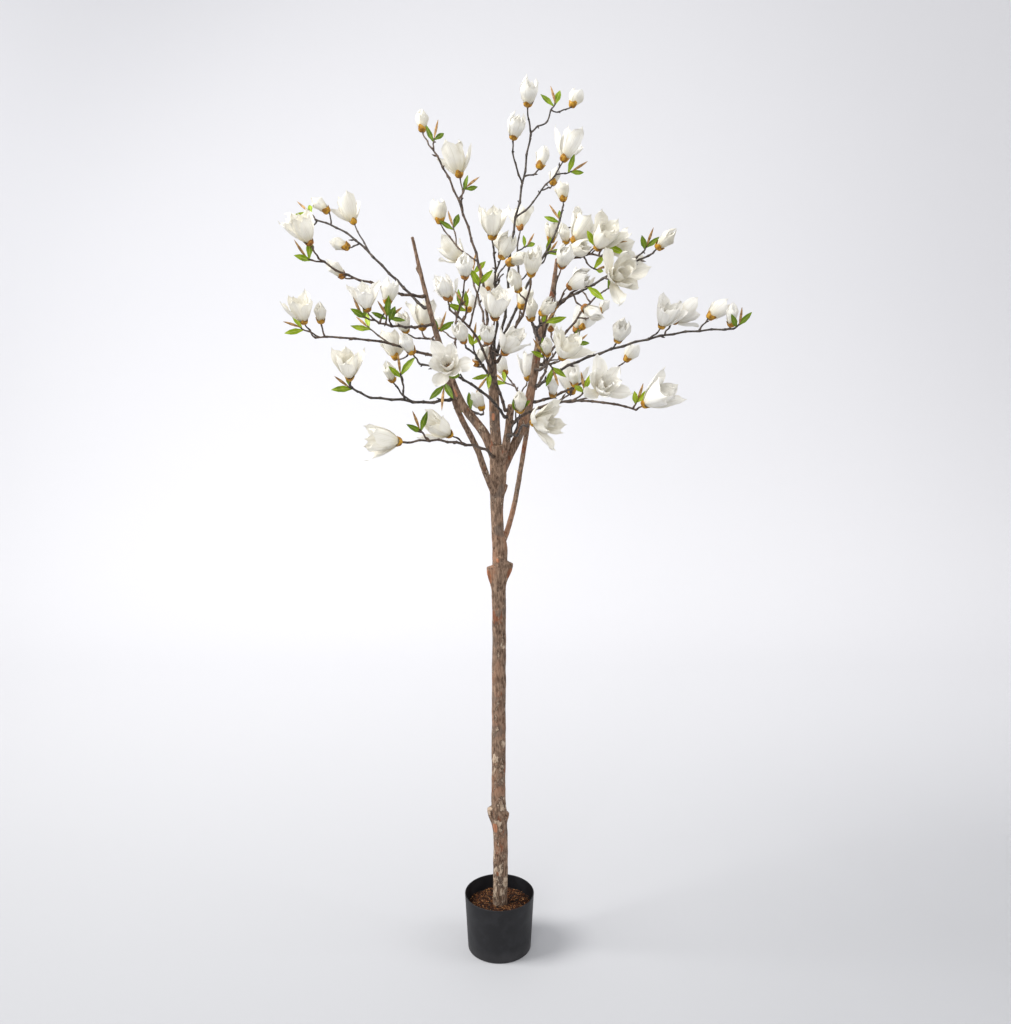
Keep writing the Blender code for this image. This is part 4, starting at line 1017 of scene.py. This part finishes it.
def petal_finish(name, pale, base, shade):
    """Ivory cloth: creamy at its foot, with faint creases along its length, in relief and with painted
    shade in them.
    """
    cloth = Finish(name, pale, 0.62, 0.3)
    along = cloth.part_of(cloth.along, "Y")
    crease_relief_and_shade = cloth.noise(1.0, 3, cloth.stretched(cloth.along, (20, 1.2, 1)))
    tone = cloth.mix(cloth.step(along, 0.45, 0.02), pale, base)
    # Painted shade: the lengthwise creases are darkened towards the shade tone; the same pattern also
    # gives their bump
    tone = cloth.mix(cloth.step(crease_relief_and_shade, 0.5, 0.7), tone, shade)
    cloth.color(cloth.mix(cloth.step(cloth.noise(26.0), 0.52, 0.74), tone, shade))
    cloth.bump(crease_relief_and_shade, 0.5, 0.0016)
    cloth.glow_through(0.2, pale)
    return cloth.material


def leaf_finish(name, light, dark, rib):
    """A waxy printed leaf: a pale midrib, side veins and mottled green."""
    leaf = Finish(name, light, 0.48, 0.35)
    wide = leaf.part_of(leaf.along, "X")
    middle = leaf.math("ABSOLUTE", leaf.math("SUBTRACT", wide, 0.5), 0.0)
    tone = leaf.mix(leaf.step(leaf.noise(60.0), 0.38, 0.66), light, dark)
    leaf.color(leaf.mix(leaf.step(middle, 0.05, 0.015), tone, rib))
    leaf.bump(leaf.noise(1.0, 3, leaf.stretched(leaf.along, (7, 26, 1))), 0.4, 0.0008)
    leaf.glow_through(0.18, light)
    return leaf.material


def mottled_finish(name, light, dark, scale, roughness, rise=0.0006):
    """A surface mottled between two tones, with a bump of the same grain."""
    made = Finish(name, light, roughness, 0.4)
    grain = made.noise(scale, 6)
    made.color(made.mix(made.step(grain, 0.36, 0.64), dark, light))
    made.bump(grain, 0.6, rise)
    return made.material


FINISH_KINDS = {"petal": petal_finish, "leaf": leaf_finish, "mottled": mottled_finish}


def add_pieces(heaps, finishes, slot, main, nodes):
    """Makes a piece of each heap in its finish; the main one stands for the CAD nodes."""
    for name, heap in heaps.items():
        kind, *row = finishes[name]
        heap.piece(name, FINISH_KINDS[kind](*row), slot, nodes if name == main else ())


def patched(bark, tone, scale, detail, rough, squash, low, high, share, color):
    """A tone of bark with patches of one more colour laid over it."""
    pattern = bark.step(bark.noise(scale, detail, bark.upright(squash), rough), low, high)
    return bark.laid(tone, share, pattern, color)


def bark_finish():
    """Old bark: warm grey-brown, with rusty and pale flakes that grow denser lower down."""
    bark = Finish("bark", (118, 98, 85), 0.86, 0.25)
    low = bark.step(bark.part_of(bark.place, "Z"), 0.8, 0.3)
    grain = bark.noise(230, 10, bark.upright(0.28), 0.62)
    tone = bark.mix(bark.step(grain, 0.3, 0.7), (74, 55, 43), (160, 134, 113))
    for row in BARK_PATCHES:
        tone = patched(bark, tone, *row)
    flakes = bark.noise(52, 10, bark.upright(0.6), 0.68)
    flakes = bark.math("ADD", flakes, bark.math("MULTIPLY", low, 0.09))
    edge = bark.math("SUBTRACT", bark.step(flakes, 0.57, 0.6), bark.step(flakes, 0.6, 0.63))
    tone = bark.laid(tone, 0.7, edge, (58, 48, 40))
    pale = bark.step(flakes, 0.605, 0.63)
    light = bark.mix(bark.step(grain, 0.4, 0.6), (148, 124, 104), (206, 186, 163))
    tone = bark.laid(tone, 0.86, pale, light)
    tone = patched(bark, tone, *BARK_SPOTS)
    lines = bark.step(bark.noise(1.0, 6, bark.stretched(bark.place, (210, 210, 14)), 0.6), 0.62, 0.68)
    bark.color(bark.laid(tone, 0.45, lines, (54, 43, 37)))
    bark.bump(bark.math("ADD", grain, bark.math("MULTIPLY", pale, 0.35)), 0.9, 0.002)
    return bark.material


def cut_finish(name, light, dark):
    """Bare cut wood, its grain running up."""
    wood = Finish(name, light, 0.7, 0.3)
    grain = wood.noise(110, 5, wood.upright(0.16))
    wood.color(wood.mix(wood.step(grain, 0.34, 0.62), dark, light))
    wood.bump(grain, 0.5, 0.0008)
    return wood.material


def pot_finish():
    """Satin black moulded plastic with a dusty foot, faint scuffs and a few pale nicks."""
    pot = Finish("pot_plastic", (30, 30, 33), 0.5, 0.32)
    tone = pot.laid((24, 24, 27), 0.5, pot.step(pot.noise(34.0, 6), 0.42, 0.75), (44, 44, 48))
    low = pot.step(pot.part_of(pot.place, "Z"), 0.04, 0.0)
    tone = pot.laid(tone, pot.noise(16.0), low, (58, 57, 58))
    nicks = pot.step(pot.cells(30.0), 0.075, 0.045)
    rare = pot.step(pot.noise(9.0, 0), 0.6, 0.64)
    pot.color(pot.laid(tone, rare, nicks, (150, 150, 152)))
    scuffs = pot.noise(30, 5, pot.upright(0.3))
    pot.links.new(pot.math("ADD", pot.math("MULTIPLY", scuffs, 0.3), 0.36),
                  pot.shader.inputs["Roughness"])
    pot.bump(pot.noise(420.0, 2), 0.25, 0.0003)
    return pot.material


# Wood

class Wood:
    """One limb's middle line and frame, close enough to carry the bark's relief."""

    def __init__(self, limb):
        self.limb = limb
        self.seed = list(LIMBS).index(limb)
        self.count = max(int(limb_length(limb) / BARK_STEP), 8)
        rows = [limb_at(limb, k / self.count) for k in range(self.count + 1)]
        self.middles = [row[0] for row in rows]
        self.radii = [row[1] for row in rows]
        self.sides = max(int(2 * math.pi * max(self.radii) / BARK_WIDTH), 20)
        self.frames = steady_rings(self.middles, lambda k, angle: 1.0, 4)

    def flare(self, height, bearing, radius):
        """How far the wood stands out where it flares to a cut stub."""
        most = 0.0
        for limb, top, turn, reach, width in KNOTS:
            if limb != self.limb:
                continue
            crest = top * CM + reach * CM / 3
            rise = ease(top * CM - KNOT_RUN * reach * CM, crest, height)
            fall = ease(crest + KNOT_TOP, crest, height)
            off = (bearing - math.radians(turn) + math.pi) % (2 * math.pi) - math.pi
            spread = KNOT_SPREAD * width * CM / 2 / radius
            most = max(most, reach * CM * KNOT_OUT * rise * fall * math.exp(-(off / spread) ** 2))
        return most

    def point(self, k, angle, lift=0.0):
        """The point of the bark at ring k and an angle, lifted off it by a distance."""
        middle, radius = self.middles[k], self.radii[k]
        ray = spoke(self.frames[k][0] - middle, self.frames[k][1] - middle, angle)
        place = middle + ray * radius
        out = radius * (1 + SWELL * bark_swell(middle.z, angle, self.seed))
        out += self.flare(place.z, math.atan2(ray.y, ray.x), radius)
        out += RELIEF * relief(place, self.seed)
        return middle + ray * (out + lift)

    def skin(self, heap):
        """Adds the bark, rounded in at both ends, and gives back its top edge."""
        rows = []
        for k in range(self.count + 1):
            sink = END_ROUND if k in (0, self.count) else 0.0
            rows.append([self.point(k, angle, -sink) for angle in ring_angles(self.sides)])
        heap.grid(rows, wrap=True)
        return rows[-1]


def relief(place, seed):
    """The bark's fine relief at a place, from about -1 to 1: ridges, flakes and pits."""
    shift = Vector((seed * RELIEF_SHIFT[0], seed * RELIEF_SHIFT[1], 0))
    ridges, flakes, pits = [
        noise.noise(Vector((place.x * wide, place.y * wide, place.z * high)) + shift)
        for wide, high in RELIEF_GRAINS]
    flakes = ease(-FLAKE_EDGE, FLAKE_EDGE, flakes)
    return RELIEF_SHARES[0] * ridges + RELIEF_SHARES[1] * (flakes - 0.5) + RELIEF_SHARES[2] * pits


def cut_end(heap, edge):
    """Closes a sawn end with a shallow, slightly uneven face."""
    middle = sum((Vector(point) for point in edge), Vector()) / len(edge)
    rows = [[middle + (Vector(p) - middle) * share for p in edge] for share in END_RINGS]
    heap.grid([edge] + rows, wrap=True)


def scar(heap, wood, height, bearing, half_height, half_width):
    """A thin bare patch that lies on the bark, its edge ragged and sunk."""
    heights = [point.z for point in wood.middles]
    first = min(range(len(heights)), key=lambda k: abs(heights[k] - height * CM))
    reach = max(int(half_height * CM / BARK_STEP), 2)
    rows, marks = [], []
    for r in range(-reach, reach + 1):
        k = max(0, min(wood.count, first + r))
        side = wood.frames[k][0] - wood.middles[k]
        start = math.radians(bearing) - math.atan2(side.y, side.x)
        share = math.sqrt(max(0.0, 1 - (r / (reach + SCAR_ROUND)) ** 2))
        row = []
        for c in range(SCAR_COLUMNS + 1):
            v = 2 * c / SCAR_COLUMNS - 1
            rag = noise.noise(Vector((r * SCAR_RAGS[0], v * SCAR_RAGS[1], height)))
            angle = start + v * share * half_width * CM * (1 + SCAR_RAGGED * rag) / wood.radii[k]
            edge = max(abs(v), abs(r) / reach)
            row.append(wood.point(k, angle, SCAR_LIFT * (1 - SCAR_SINK * edge ** 4)))
            marks.append((c / SCAR_COLUMNS, (r + reach) / (2 * reach)))
        rows.append(row)
    heap.grid(rows, marks=marks)


def make_wood():
    """The trunk and boughs with their bark, sawn ends and scars."""
    bark = bark_finish()
    ends, scars = Heap(), Heap()
    for limb in LIMBS:
        heap, wood = Heap(), Wood(limb)
        cut_end(ends, wood.skin(heap))
        heap.piece("bark_" + limb, bark, "wood", [limb], BARK_ANGLE)
        for name, *row in SCARS:
            if name == limb:
                scar(scars, wood, *row)
    ends.piece("sawn_ends", cut_finish("sawn_wood", *SAWN_TONES), "wood")
    scars.piece("bare_scars", cut_finish("bare_wood", *BARE_TONES), "wood")


# Twigs

def beside(along, rng):
    """A direction square to a twig, at a bearing drawn at random."""
    side, back = across(along)
    return spoke(side, back, rng.uniform(0, 2 * math.pi))


def spur(heap, foot, along, rng):
    """A pointed scale bud on a short spur, leaning out from its twig."""
    out = beside(along, rng)
    aim = (along * rng.uniform(*SPUR_ALONG) + out * rng.uniform(*SPUR_OUT)).normalized()
    long = rng.uniform(*SPUR_LENGTHS)
    middles = [foot + aim * long * s + along * long * SPUR_BEND * s * s for s, _ in SPUR_PROFILE]
    tube(heap, middles, [SPUR_RADIUS * width for _, width in SPUR_PROFILE], MARK_FACES)


def stub(heap, foot, along, rng):
    """A short blunt stub where a leaf has been."""
    out = (beside(along, rng) + along * STUB_ALONG).normalized()
    long = rng.uniform(*STUB_LENGTHS)
    middles = [foot + out * long * s for s, _ in STUB_PROFILE]
    tube(heap, middles, [radius for _, radius in STUB_PROFILE], MARK_FACES)


def kink(twig, t, spacing):
    """How far a twig stands off its line at t, bent a little at each node."""
    side, back = across(twig.along(t))
    sway = 1 - 2 * abs(t * twig.length / spacing % 2 - 1)
    ends = ease(0, KINK_FREE, t * twig.length) * ease(0, KINK_FREE, (1 - t) * twig.length)
    return spoke(side, back, KINK_TURNS * twig.length) * KINK * sway * ends


def make_twig(heap, twig, first, rng):
    """A twig with its nodes, scale buds and stubs."""
    spacing = rng.uniform(*NODE_SPACING)
    nodes = [s * spacing / twig.length for s in range(1, int(twig.length / spacing) + 1)]
    count = max(round(twig.length / TWIG_FINE), TWIG_LEAST_STEPS)
    middles, radii = [], []
    if first is not None:
        middles, radii = [first], [twig.thick * FOOT_FLARE]
    for t in [k / count for k in range(count + 1)]:
        near = min([abs(t - node) * twig.length for node in nodes] or [1.0])
        knob = 1 + NODE_KNOB * math.exp(-(near / NODE_REACH) ** 2)
        root = 1 + ROOT_KNOB * math.exp(-(t * twig.length / ROOT_REACH) ** 2)
        middles.append(twig.at(t) + kink(twig, t, spacing))
        radii.append(twig.radius(t) * TWIG_SLIM * knob * root * rng.uniform(*TWIG_UNEVEN))
    tube(heap, middles, radii, TWIG_FACES)
    for node in nodes:
        pick = rng.random()
        if pick < SPUR_SHARE:
            spur(heap, twig.at(node), twig.along(node), rng)
        elif pick < SPUR_SHARE + STUB_SHARE:
            stub(heap, twig.at(node), twig.along(node), rng)


# Blossoms

def open_petal(blossom, petal, rng, width=1.0):
    """A petal of an open blossom: spoon-shaped, its edge waved and its tip turned."""
    bearing, length, start, end = petal
    ray = spoke(blossom.side, blossom.back, bearing)
    tangent = blossom.back * math.cos(bearing) - blossom.side * math.sin(bearing)
    most = PETAL_WIDTH * length * width
    cup = most * rng.uniform(*CUP_ROUND)
    waves = [(rng.uniform(0, PHASE_MOST), rng.uniform(*EDGE_BEATS)) for _ in range(2)]
    skew = rng.uniform(-PETAL_SKEW, PETAL_SKEW)
    curl = rng.uniform(*TIP_CURL)
    peak = rng.uniform(*TIP_PEAK)

    def line(s, v):
        out, height = blossom.petal_line(petal, s)
        angle = start + (end - start) * s
        inward = blossom.facing * math.sin(angle) - ray * math.cos(angle)
        turn = v * (most * between(PETAL_OUTLINE, s)) / cup
        place = blossom.place(out, height, bearing)
        place += tangent * (cup * math.sin(turn) + skew * length * s * s)
        place += inward * cup * (1 - math.cos(turn))
        edge = abs(v) ** 3 * s
        wave = sum(math.sin(phase + beat * math.pi * s * (1 + 0.3 * v)) for phase, beat in waves)
        place += inward * EDGE_WAVE * length * edge * wave
        place -= inward * curl * length * ease(0.72, 1.0, s) * (0.5 + 0.5 * abs(v))
        place -= inward * MIDRIB * math.exp(-(v / 0.14) ** 2) * ease(0, 0.2, s)
        place += inward * FLUTE * math.cos(waves[0][0] + FLUTES * v) * ease(0.1, 0.5, s)
        reach = blossom.facing * math.cos(angle) + ray * math.sin(angle)
        return place + reach * length * peak * (ease(0.8, 1.0, s) * (0.35 - abs(v)))

    return line


def closed_petal(blossom, bearing, inner, rng):
    """A petal of a bud or a half-open blossom, wrapped round the axis to a point."""
    bud = blossom.kind == "bud"
    profile = BUD_PROFILE if bud else HALF_PROFILE
    long = blossom.length * rng.uniform(*CLOSED_LENGTH) * (INNER_LENGTH if inner else 1.0)
    wide = blossom.half_width * (INNER_WIDTH if inner else 1.0)
    wrap = math.radians(BUD_WRAP if bud else HALF_WRAP)
    twist = math.radians(rng.uniform(*CLOSED_TWIST))
    splay = 0.0 if bud else rng.uniform(*HALF_SPLAY)
    phase = rng.uniform(0, PHASE_MOST)
    foot = CALYX_LENGTH * 0.4

    def line(s, v):
        turn = bearing + v * wrap * between(WRAP_SHARE, s) + twist * s
        out = wide * between(profile, s) * (1 + 0.1 * v * (1 if bud else 0.6))
        out += wide * splay * ease(0.55, 1, s) * (1 - 0.3 * abs(v))
        out += CLOSED_WAVE * math.sin(phase + 5 * s + 3 * v) * abs(v)
        out -= MIDRIB * math.exp(-(v / 0.12) ** 2) * ease(0.05, 0.3, s)
        out += FLUTE * math.cos(phase + FLUTES * v) * ease(0.1, 0.5, s)
        height = foot + (long - foot) * s
        height -= long * TIP_FALL * abs(v) ** 1.4 * ease(0.45, 1, s)
        return blossom.place(max(out, 0.0004), height, turn)

    return line


def make_centre(heap, blossom, rng):
    """The cone and the ring of stamens in the middle of an open blossom."""
    middles = [blossom.foot + blossom.facing * height for height, _ in CONE]
    tube(heap, middles, [radius for _, radius in CONE], CONE_FACES)
    out, up = STAMEN_FOOT
    for n in range(STAMENS):
        bearing = 2 * math.pi * (n + rng.uniform(-STAMEN_SHIFT, STAMEN_SHIFT)) / STAMENS
        long = rng.uniform(*STAMEN_LENGTHS)
        line = [blossom.place(out + long * STAMEN_LEAN * s * s, up + long * s, bearing)
                for s, _ in STAMEN_PROFILE]
        tube(heap, line, [radius for _, radius in STAMEN_PROFILE], STAMEN_FACES)


def make_calyx(heap, blossom, rng):
    """The golden cup under a blossom, with three pointed bracts."""
    tips = [rng.uniform(*CALYX_TIPS) for _ in range(BRACTS)]
    turn = rng.uniform(0, 2 * math.pi)
    rows = []
    for s in CALYX_STEPS:
        row = []
        for angle in ring_angles(CALYX_SIDES):
            near = (BRACTS * (angle - turn) / (2 * math.pi)) % BRACTS
            point = max(0.0, 1 - 2.6 * abs(near - round(near)))
            out = CALYX_RADIUS * blossom.size * between(CALYX_OUTLINE, s)
            out *= 1 + CALYX_FLARE * point * s * s
            height = CALYX_LENGTH * s * (0.62 + 0.5 * point * tips[int(near + 0.5) % BRACTS])
            row.append(blossom.place(out, height - CALYX_SINK, angle))
        rows.append(row)
    heap.grid(rows, wrap=True)


def make_closed(heap, blossom, rng):
    """The six wrapped petals of a bud or a half-open blossom, each second one inside."""
    for n in range(2 * WHORL_PETALS):
        bearing = blossom.turn + math.pi * n / WHORL_PETALS
        sheet(heap, closed_petal(blossom, bearing, n % 2 == 1, rng), CLOSED_FACES)


def make_open(heap, blossom, rng):
    """The six outer petals of an open blossom and the whorls inside them."""
    for petal in blossom.petals():
        sheet(heap, open_petal(blossom, petal, rng), OPEN_FACES)
    for offset, share, start, end in INNER_WHORLS[blossom.kind]:
        for n in range(WHORL_PETALS):
            shift = offset + rng.uniform(-INNER_SHIFT, INNER_SHIFT)
            bearing = blossom.turn + 2 * math.pi * (n + shift) / WHORL_PETALS
            length = blossom.length * share * rng.uniform(*INNER_SIZES)
            petal = (bearing, length, math.radians(start), math.radians(end))
            sheet(heap, open_petal(blossom, petal, rng, INNER_SPREAD), INNER_FACES)


def make_blossom(petals, golden, blossom, rng):
    """The finer petals and calyx of one blossom."""
    make_calyx(golden, blossom, rng)
    full = rng.uniform(*FULLNESS[blossom.kind])
    blossom.length *= full
    blossom.half_width *= full
    make = make_open if blossom.kind in OPEN_KINDS else make_closed
    make(petals, blossom, rng)


# Leaves

def make_leaf(heap, leaf, rng):
    """A lance-shaped leaf, folded along its midrib and arched to its tip."""
    side, back = across(leaf.facing)
    arch = rng.uniform(*LEAF_ARCH) * rng.choice((-1, 1))
    fold = math.tan(math.radians(rng.uniform(*LEAF_FOLD)))
    roll = rng.uniform(-LEAF_TWIST, LEAF_TWIST)
    phase = rng.uniform(0, PHASE_MOST)
    long, wide = leaf.length * LEAF_FULL, leaf.half_width * LEAF_FULL

    def line(s, v):
        up = back * math.cos(roll * s) - side * math.sin(roll * s)
        middle = leaf.foot + leaf.facing * long * (s - LEAF_ROOT) + up * arch * long * s * s
        half = wide * between(LEAF_OUTLINE, s)
        wave = LEAF_WAVE * math.sin(phase + 9 * s + v) * abs(v)
        return middle + spoke(side, back, roll * s) * v * half + up * (abs(v) * half * fold + wave)

    sheet(heap, line, LEAF_FACES)


def make_furled(heap, leaf, rng):
    """A rolled leaf: a slim flattened spindle with its edge showing as a groove."""
    side, back = across(leaf.facing)
    bend = rng.uniform(-FURL_BEND, FURL_BEND)
    rows = []
    for s in [r / FURL_ROWS for r in range(FURL_ROWS + 1)]:
        middle = leaf.foot + leaf.facing * leaf.length * FURL_FULL * s + side * bend * leaf.length * s * s
        half = leaf.half_width * between(FURL_OUTLINE, s)
        row = []
        for angle in ring_angles(FURL_SIDES):
            groove = 1 - FURL_GROOVE * math.exp(-((angle - math.pi / 2) / 0.5) ** 2)
            row.append(middle + side * half * math.cos(angle) * groove
                       + back * half * FURL_FLAT * math.sin(angle) * groove)
        rows.append(row)
    heap.grid(rows, wrap=True)


def make_spray(heaps, name, spray):
    """One spray's finer twigs, blossoms and leaves, in tints drawn for it."""
    rng = random.Random(name + " fine")
    petals, golden, greens, twigs = [heaps[rng.choice(tints)] for tints in SPRAY_TINTS]
    stem, *shoots = spray["twigs"]
    make_twig(twigs, stem, spray["start"] - spray["square"] * FOOT_SINK, rng)
    for shoot in shoots:
        make_twig(twigs, shoot, None, rng)
    for blossom in spray["blossoms"]:
        make_blossom(petals, golden, blossom, rng)
        if blossom.kind in OPEN_KINDS:
            make_centre(heaps["centres"], blossom, rng)
    for leaf in spray["leaves"]:
        if leaf.kind == "green":
            make_leaf(greens, leaf, rng)
        else:
            make_furled(heaps["leaves_furled"], leaf, rng)


def make_crown():
    """Every spray's twigs, blossoms and leaves, gathered by kind and tint."""
    heaps = {name: Heap() for name in CROWN_FINISHES}
    for name, spray in grow_crown().items():
        make_spray(heaps, name, spray)
    add_pieces(heaps, CROWN_FINISHES, "spray", "twigs_dark", list(SPRAYS))


# Pot and filling

def circle(radius, sides):
    """Places evenly round the middle, each x and y."""
    return [(radius * math.cos(angle), radius * math.sin(angle)) for angle in ring_angles(sides)]


def quarter(out, up, radius, steps):
    """A quarter round that leaves the level and ends upright, as (out, up) places."""
    angles = [math.pi / 2 * k / steps for k in range(1, steps + 1)]
    return [(out + radius * math.sin(angle), up - radius * math.cos(angle)) for angle in angles]


def pot_radius(height):
    """The outer radius of the pot at a height."""
    return POT_FOOT_RADIUS + (POT_RIM_RADIUS - POT_FOOT_RADIUS) * height / POT_HEIGHT


def pot_profile():
    """The pot's outline, from the middle of its underside round its edge to its floor."""
    rows = [(AXIS_RADIUS, POT_HOLLOW), (pot_radius(0) * POT_HOLLOW_SHARE, POT_HOLLOW),
            (pot_radius(0) - POT_EDGE * 1.2, 0)]
    rows += quarter(pot_radius(POT_EDGE) - POT_EDGE, POT_EDGE, POT_EDGE, POT_ROUND_STEPS)
    for k in range(1, POT_SIDE_STEPS):
        height = POT_EDGE + (POT_HEIGHT - POT_WALL - POT_EDGE) * k / POT_SIDE_STEPS
        rows.append((pot_radius(height), height))
    lip = POT_WALL / 2
    for angle in [math.pi * k / POT_LIP_STEPS for k in range(POT_LIP_STEPS + 1)]:
        rows.append((POT_RIM_RADIUS - lip + lip * math.cos(angle),
                     POT_HEIGHT - lip + lip * math.sin(angle)))
    return rows + [(pot_radius(FILL_LEVEL) - POT_WALL, FILL_LEVEL - 0.01),
                   (pot_radius(POT_FLOOR) - POT_WALL, POT_FLOOR), (AXIS_RADIUS, POT_FLOOR)]


def make_pot():
    """The thin-walled pot: a rounded foot, a plain side and a rounded edge."""
    heap = Heap()
    heap.grid([[(x, y, height) for x, y in circle(radius, POT_FINE)]
               for radius, height in pot_profile()], wrap=True)
    heap.piece("pot_wall", pot_finish(), "pot", ["pot"], POT_ANGLE)


def fill_height(x, y):
    """The height of the coir at a place."""
    edge = pot_radius(FILL_LEVEL) - POT_WALL
    share = min(math.hypot(x, y) / edge, 1)
    lumps = sum(most * noise.noise(Vector((x * fine, y * fine, layer))) for fine, most, layer in LUMPS)
    return FILL_LEVEL + FILL_DOME * (1 - share * share) + FILL_LUMP * lumps


def chip(heap, place, size, rng):
    """A small flat splinter, lying at a slant."""
    aim = Vector((rng.gauss(0, 1), rng.gauss(0, 1), rng.gauss(0, CHIP_TILT))).normalized()
    side, back = across(aim)
    long, wide = size * rng.uniform(*CHIP_LONG), size * rng.uniform(*CHIP_WIDE)
    rows = []
    for s, w in CHIP_PROFILE:
        middle = place + aim * long * s
        rows.append([middle + side * wide * w, middle + back * wide * w * CHIP_FLAT,
                     middle - side * wide * w, middle - back * wide * w * CHIP_FLAT])
    heap.grid(rows, wrap=True, closed=True)


def fibre(heap, place, rng):
    """A thin curved thread of coir."""
    turn = rng.uniform(0, 2 * math.pi)
    long = rng.uniform(*FIBRE_LENGTHS)
    aim = Vector((math.cos(turn), math.sin(turn), rng.uniform(*FIBRE_RISE)))
    side = Vector((-math.sin(turn), math.cos(turn), rng.uniform(-FIBRE_LEAN, FIBRE_LEAN)))
    bow = rng.uniform(-FIBRE_BOW, FIBRE_BOW)
    line = [place + aim * long * (s - 0.5) + side * bow * long * math.sin(math.pi * s)
            for s, _ in FIBRE_PROFILE]
    tube(heap, line, [radius for _, radius in FIBRE_PROFILE], FIBRE_FACES)


def coir_bed(edge):
    """Rings of the lumpy bed, from the pot's wall in to the trunk."""
    rows = []
    for r in range(BED_RINGS + 1):
        radius = edge + (TRUNK_HOLE - edge) * r / BED_RINGS
        rows.append([(x, y, fill_height(x, y)) for x, y in circle(radius, BED_SIDES)])
    return rows


def strew(heap, edge, rng):
    """Lays one splinter or thread at a place drawn at random, unless the trunk is there."""
    radius = math.sqrt(rng.uniform(*CHIP_AREA)) * (edge - CHIP_EDGE)
    turn = rng.uniform(0, 2 * math.pi)
    x, y = radius * math.cos(turn), radius * math.sin(turn)
    if radius < TRUNK_HOLE + CHIP_CLEAR:
        return
    place = Vector((x, y, fill_height(x, y) + rng.uniform(0, CHIP_RISE)))
    if rng.random() < FIBRE_SHARE:
        fibre(heap, place, rng)
    else:
        chip(heap, place, rng.uniform(*CHIP_SIZES), rng)


def make_filling():
    """Coir and wood chips: a lumpy bed with splinters and threads of three tints."""
    heaps = {name: Heap() for name in FILLING_FINISHES}
    edge = pot_radius(FILL_LEVEL) - POT_WALL - GAP
    heaps["coir_bed"].grid(coir_bed(edge), wrap=True)
    rng = random.Random(CHIP_SEED)
    for name, count in CHIPS.items():
        for _ in range(count):
            strew(heaps[name], edge, rng)
    add_pieces(heaps, FILLING_FINISHES, "filling", "coir_bed", ["filling"])


# Studio

def make_studio():
    """A seamless pale floor and wall, with painted shade that darkens the paper towards the front."""
    paper = Finish("paper", PAPER_FAR, 0.9, 0.1)
    # Painted shade: the paper darkens from the wall towards the front
    front_shade = paper.step(paper.part_of(paper.place, "Y"), *PAPER_SHADE_FADE)
    paper.color(paper.mix(front_shade, PAPER_NEAR_SHADED, PAPER_FAR))
    profile = [(FLOOR_FRONT, 0.0), (FLOOR_BACK, 0.0)]
    profile += quarter(FLOOR_BACK, SWEEP, SWEEP, SWEEP_STEPS)
    profile.append((FLOOR_BACK + SWEEP, WALL_TOP))
    heap = Heap()
    heap.grid([[(x, y, z) for x in (-STUDIO_SIDE, 0, STUDIO_SIDE)] for y, z in profile])
    floor = heap.shape("studio", paper.material)


def add_light(name, place, aim, size, power, spread, color):
    lamp = bpy.data.lights.new(name, "AREA")
    lamp.shape = "RECTANGLE"
    lamp.size, lamp.size_y = size
    lamp.energy = power
    lamp.spread = math.radians(spread)
    lamp.color = color
    obj = bpy.data.objects.new(name, lamp)
    obj.location = place
    obj.rotation_euler = (Vector(aim) - Vector(place)).to_track_quat("-Z", "Y").to_euler()
    bpy.context.scene.collection.objects.link(obj)


def make_lights():
    """The listed soft lights and an even, nearly white surround."""
    for row in LIGHTS:
        add_light(*row)
    world = bpy.data.worlds.new("surround")
    world.use_nodes = True
    backdrop = world.node_tree.nodes["Background"]
    backdrop.inputs["Color"].default_value = SURROUND
    backdrop.inputs["Strength"].default_value = SURROUND_POWER
    bpy.context.scene.world = world


def make_camera():
    data = bpy.data.cameras.new("camera")
    data.lens = LENS
    data.sensor_width = SENSOR
    camera = bpy.data.objects.new("camera", data)
    camera.location = CAMERA
    camera.rotation_euler = (math.radians(90 - CAMERA_DOWN), 0, 0)
    bpy.context.scene.collection.objects.link(camera)
    bpy.context.scene.camera = camera


make_camera()
make_lights()
make_studio()
make_wood()
make_crown()
make_pot()
make_filling()
bpy.context.scene.view_settings.view_transform = "Standard"
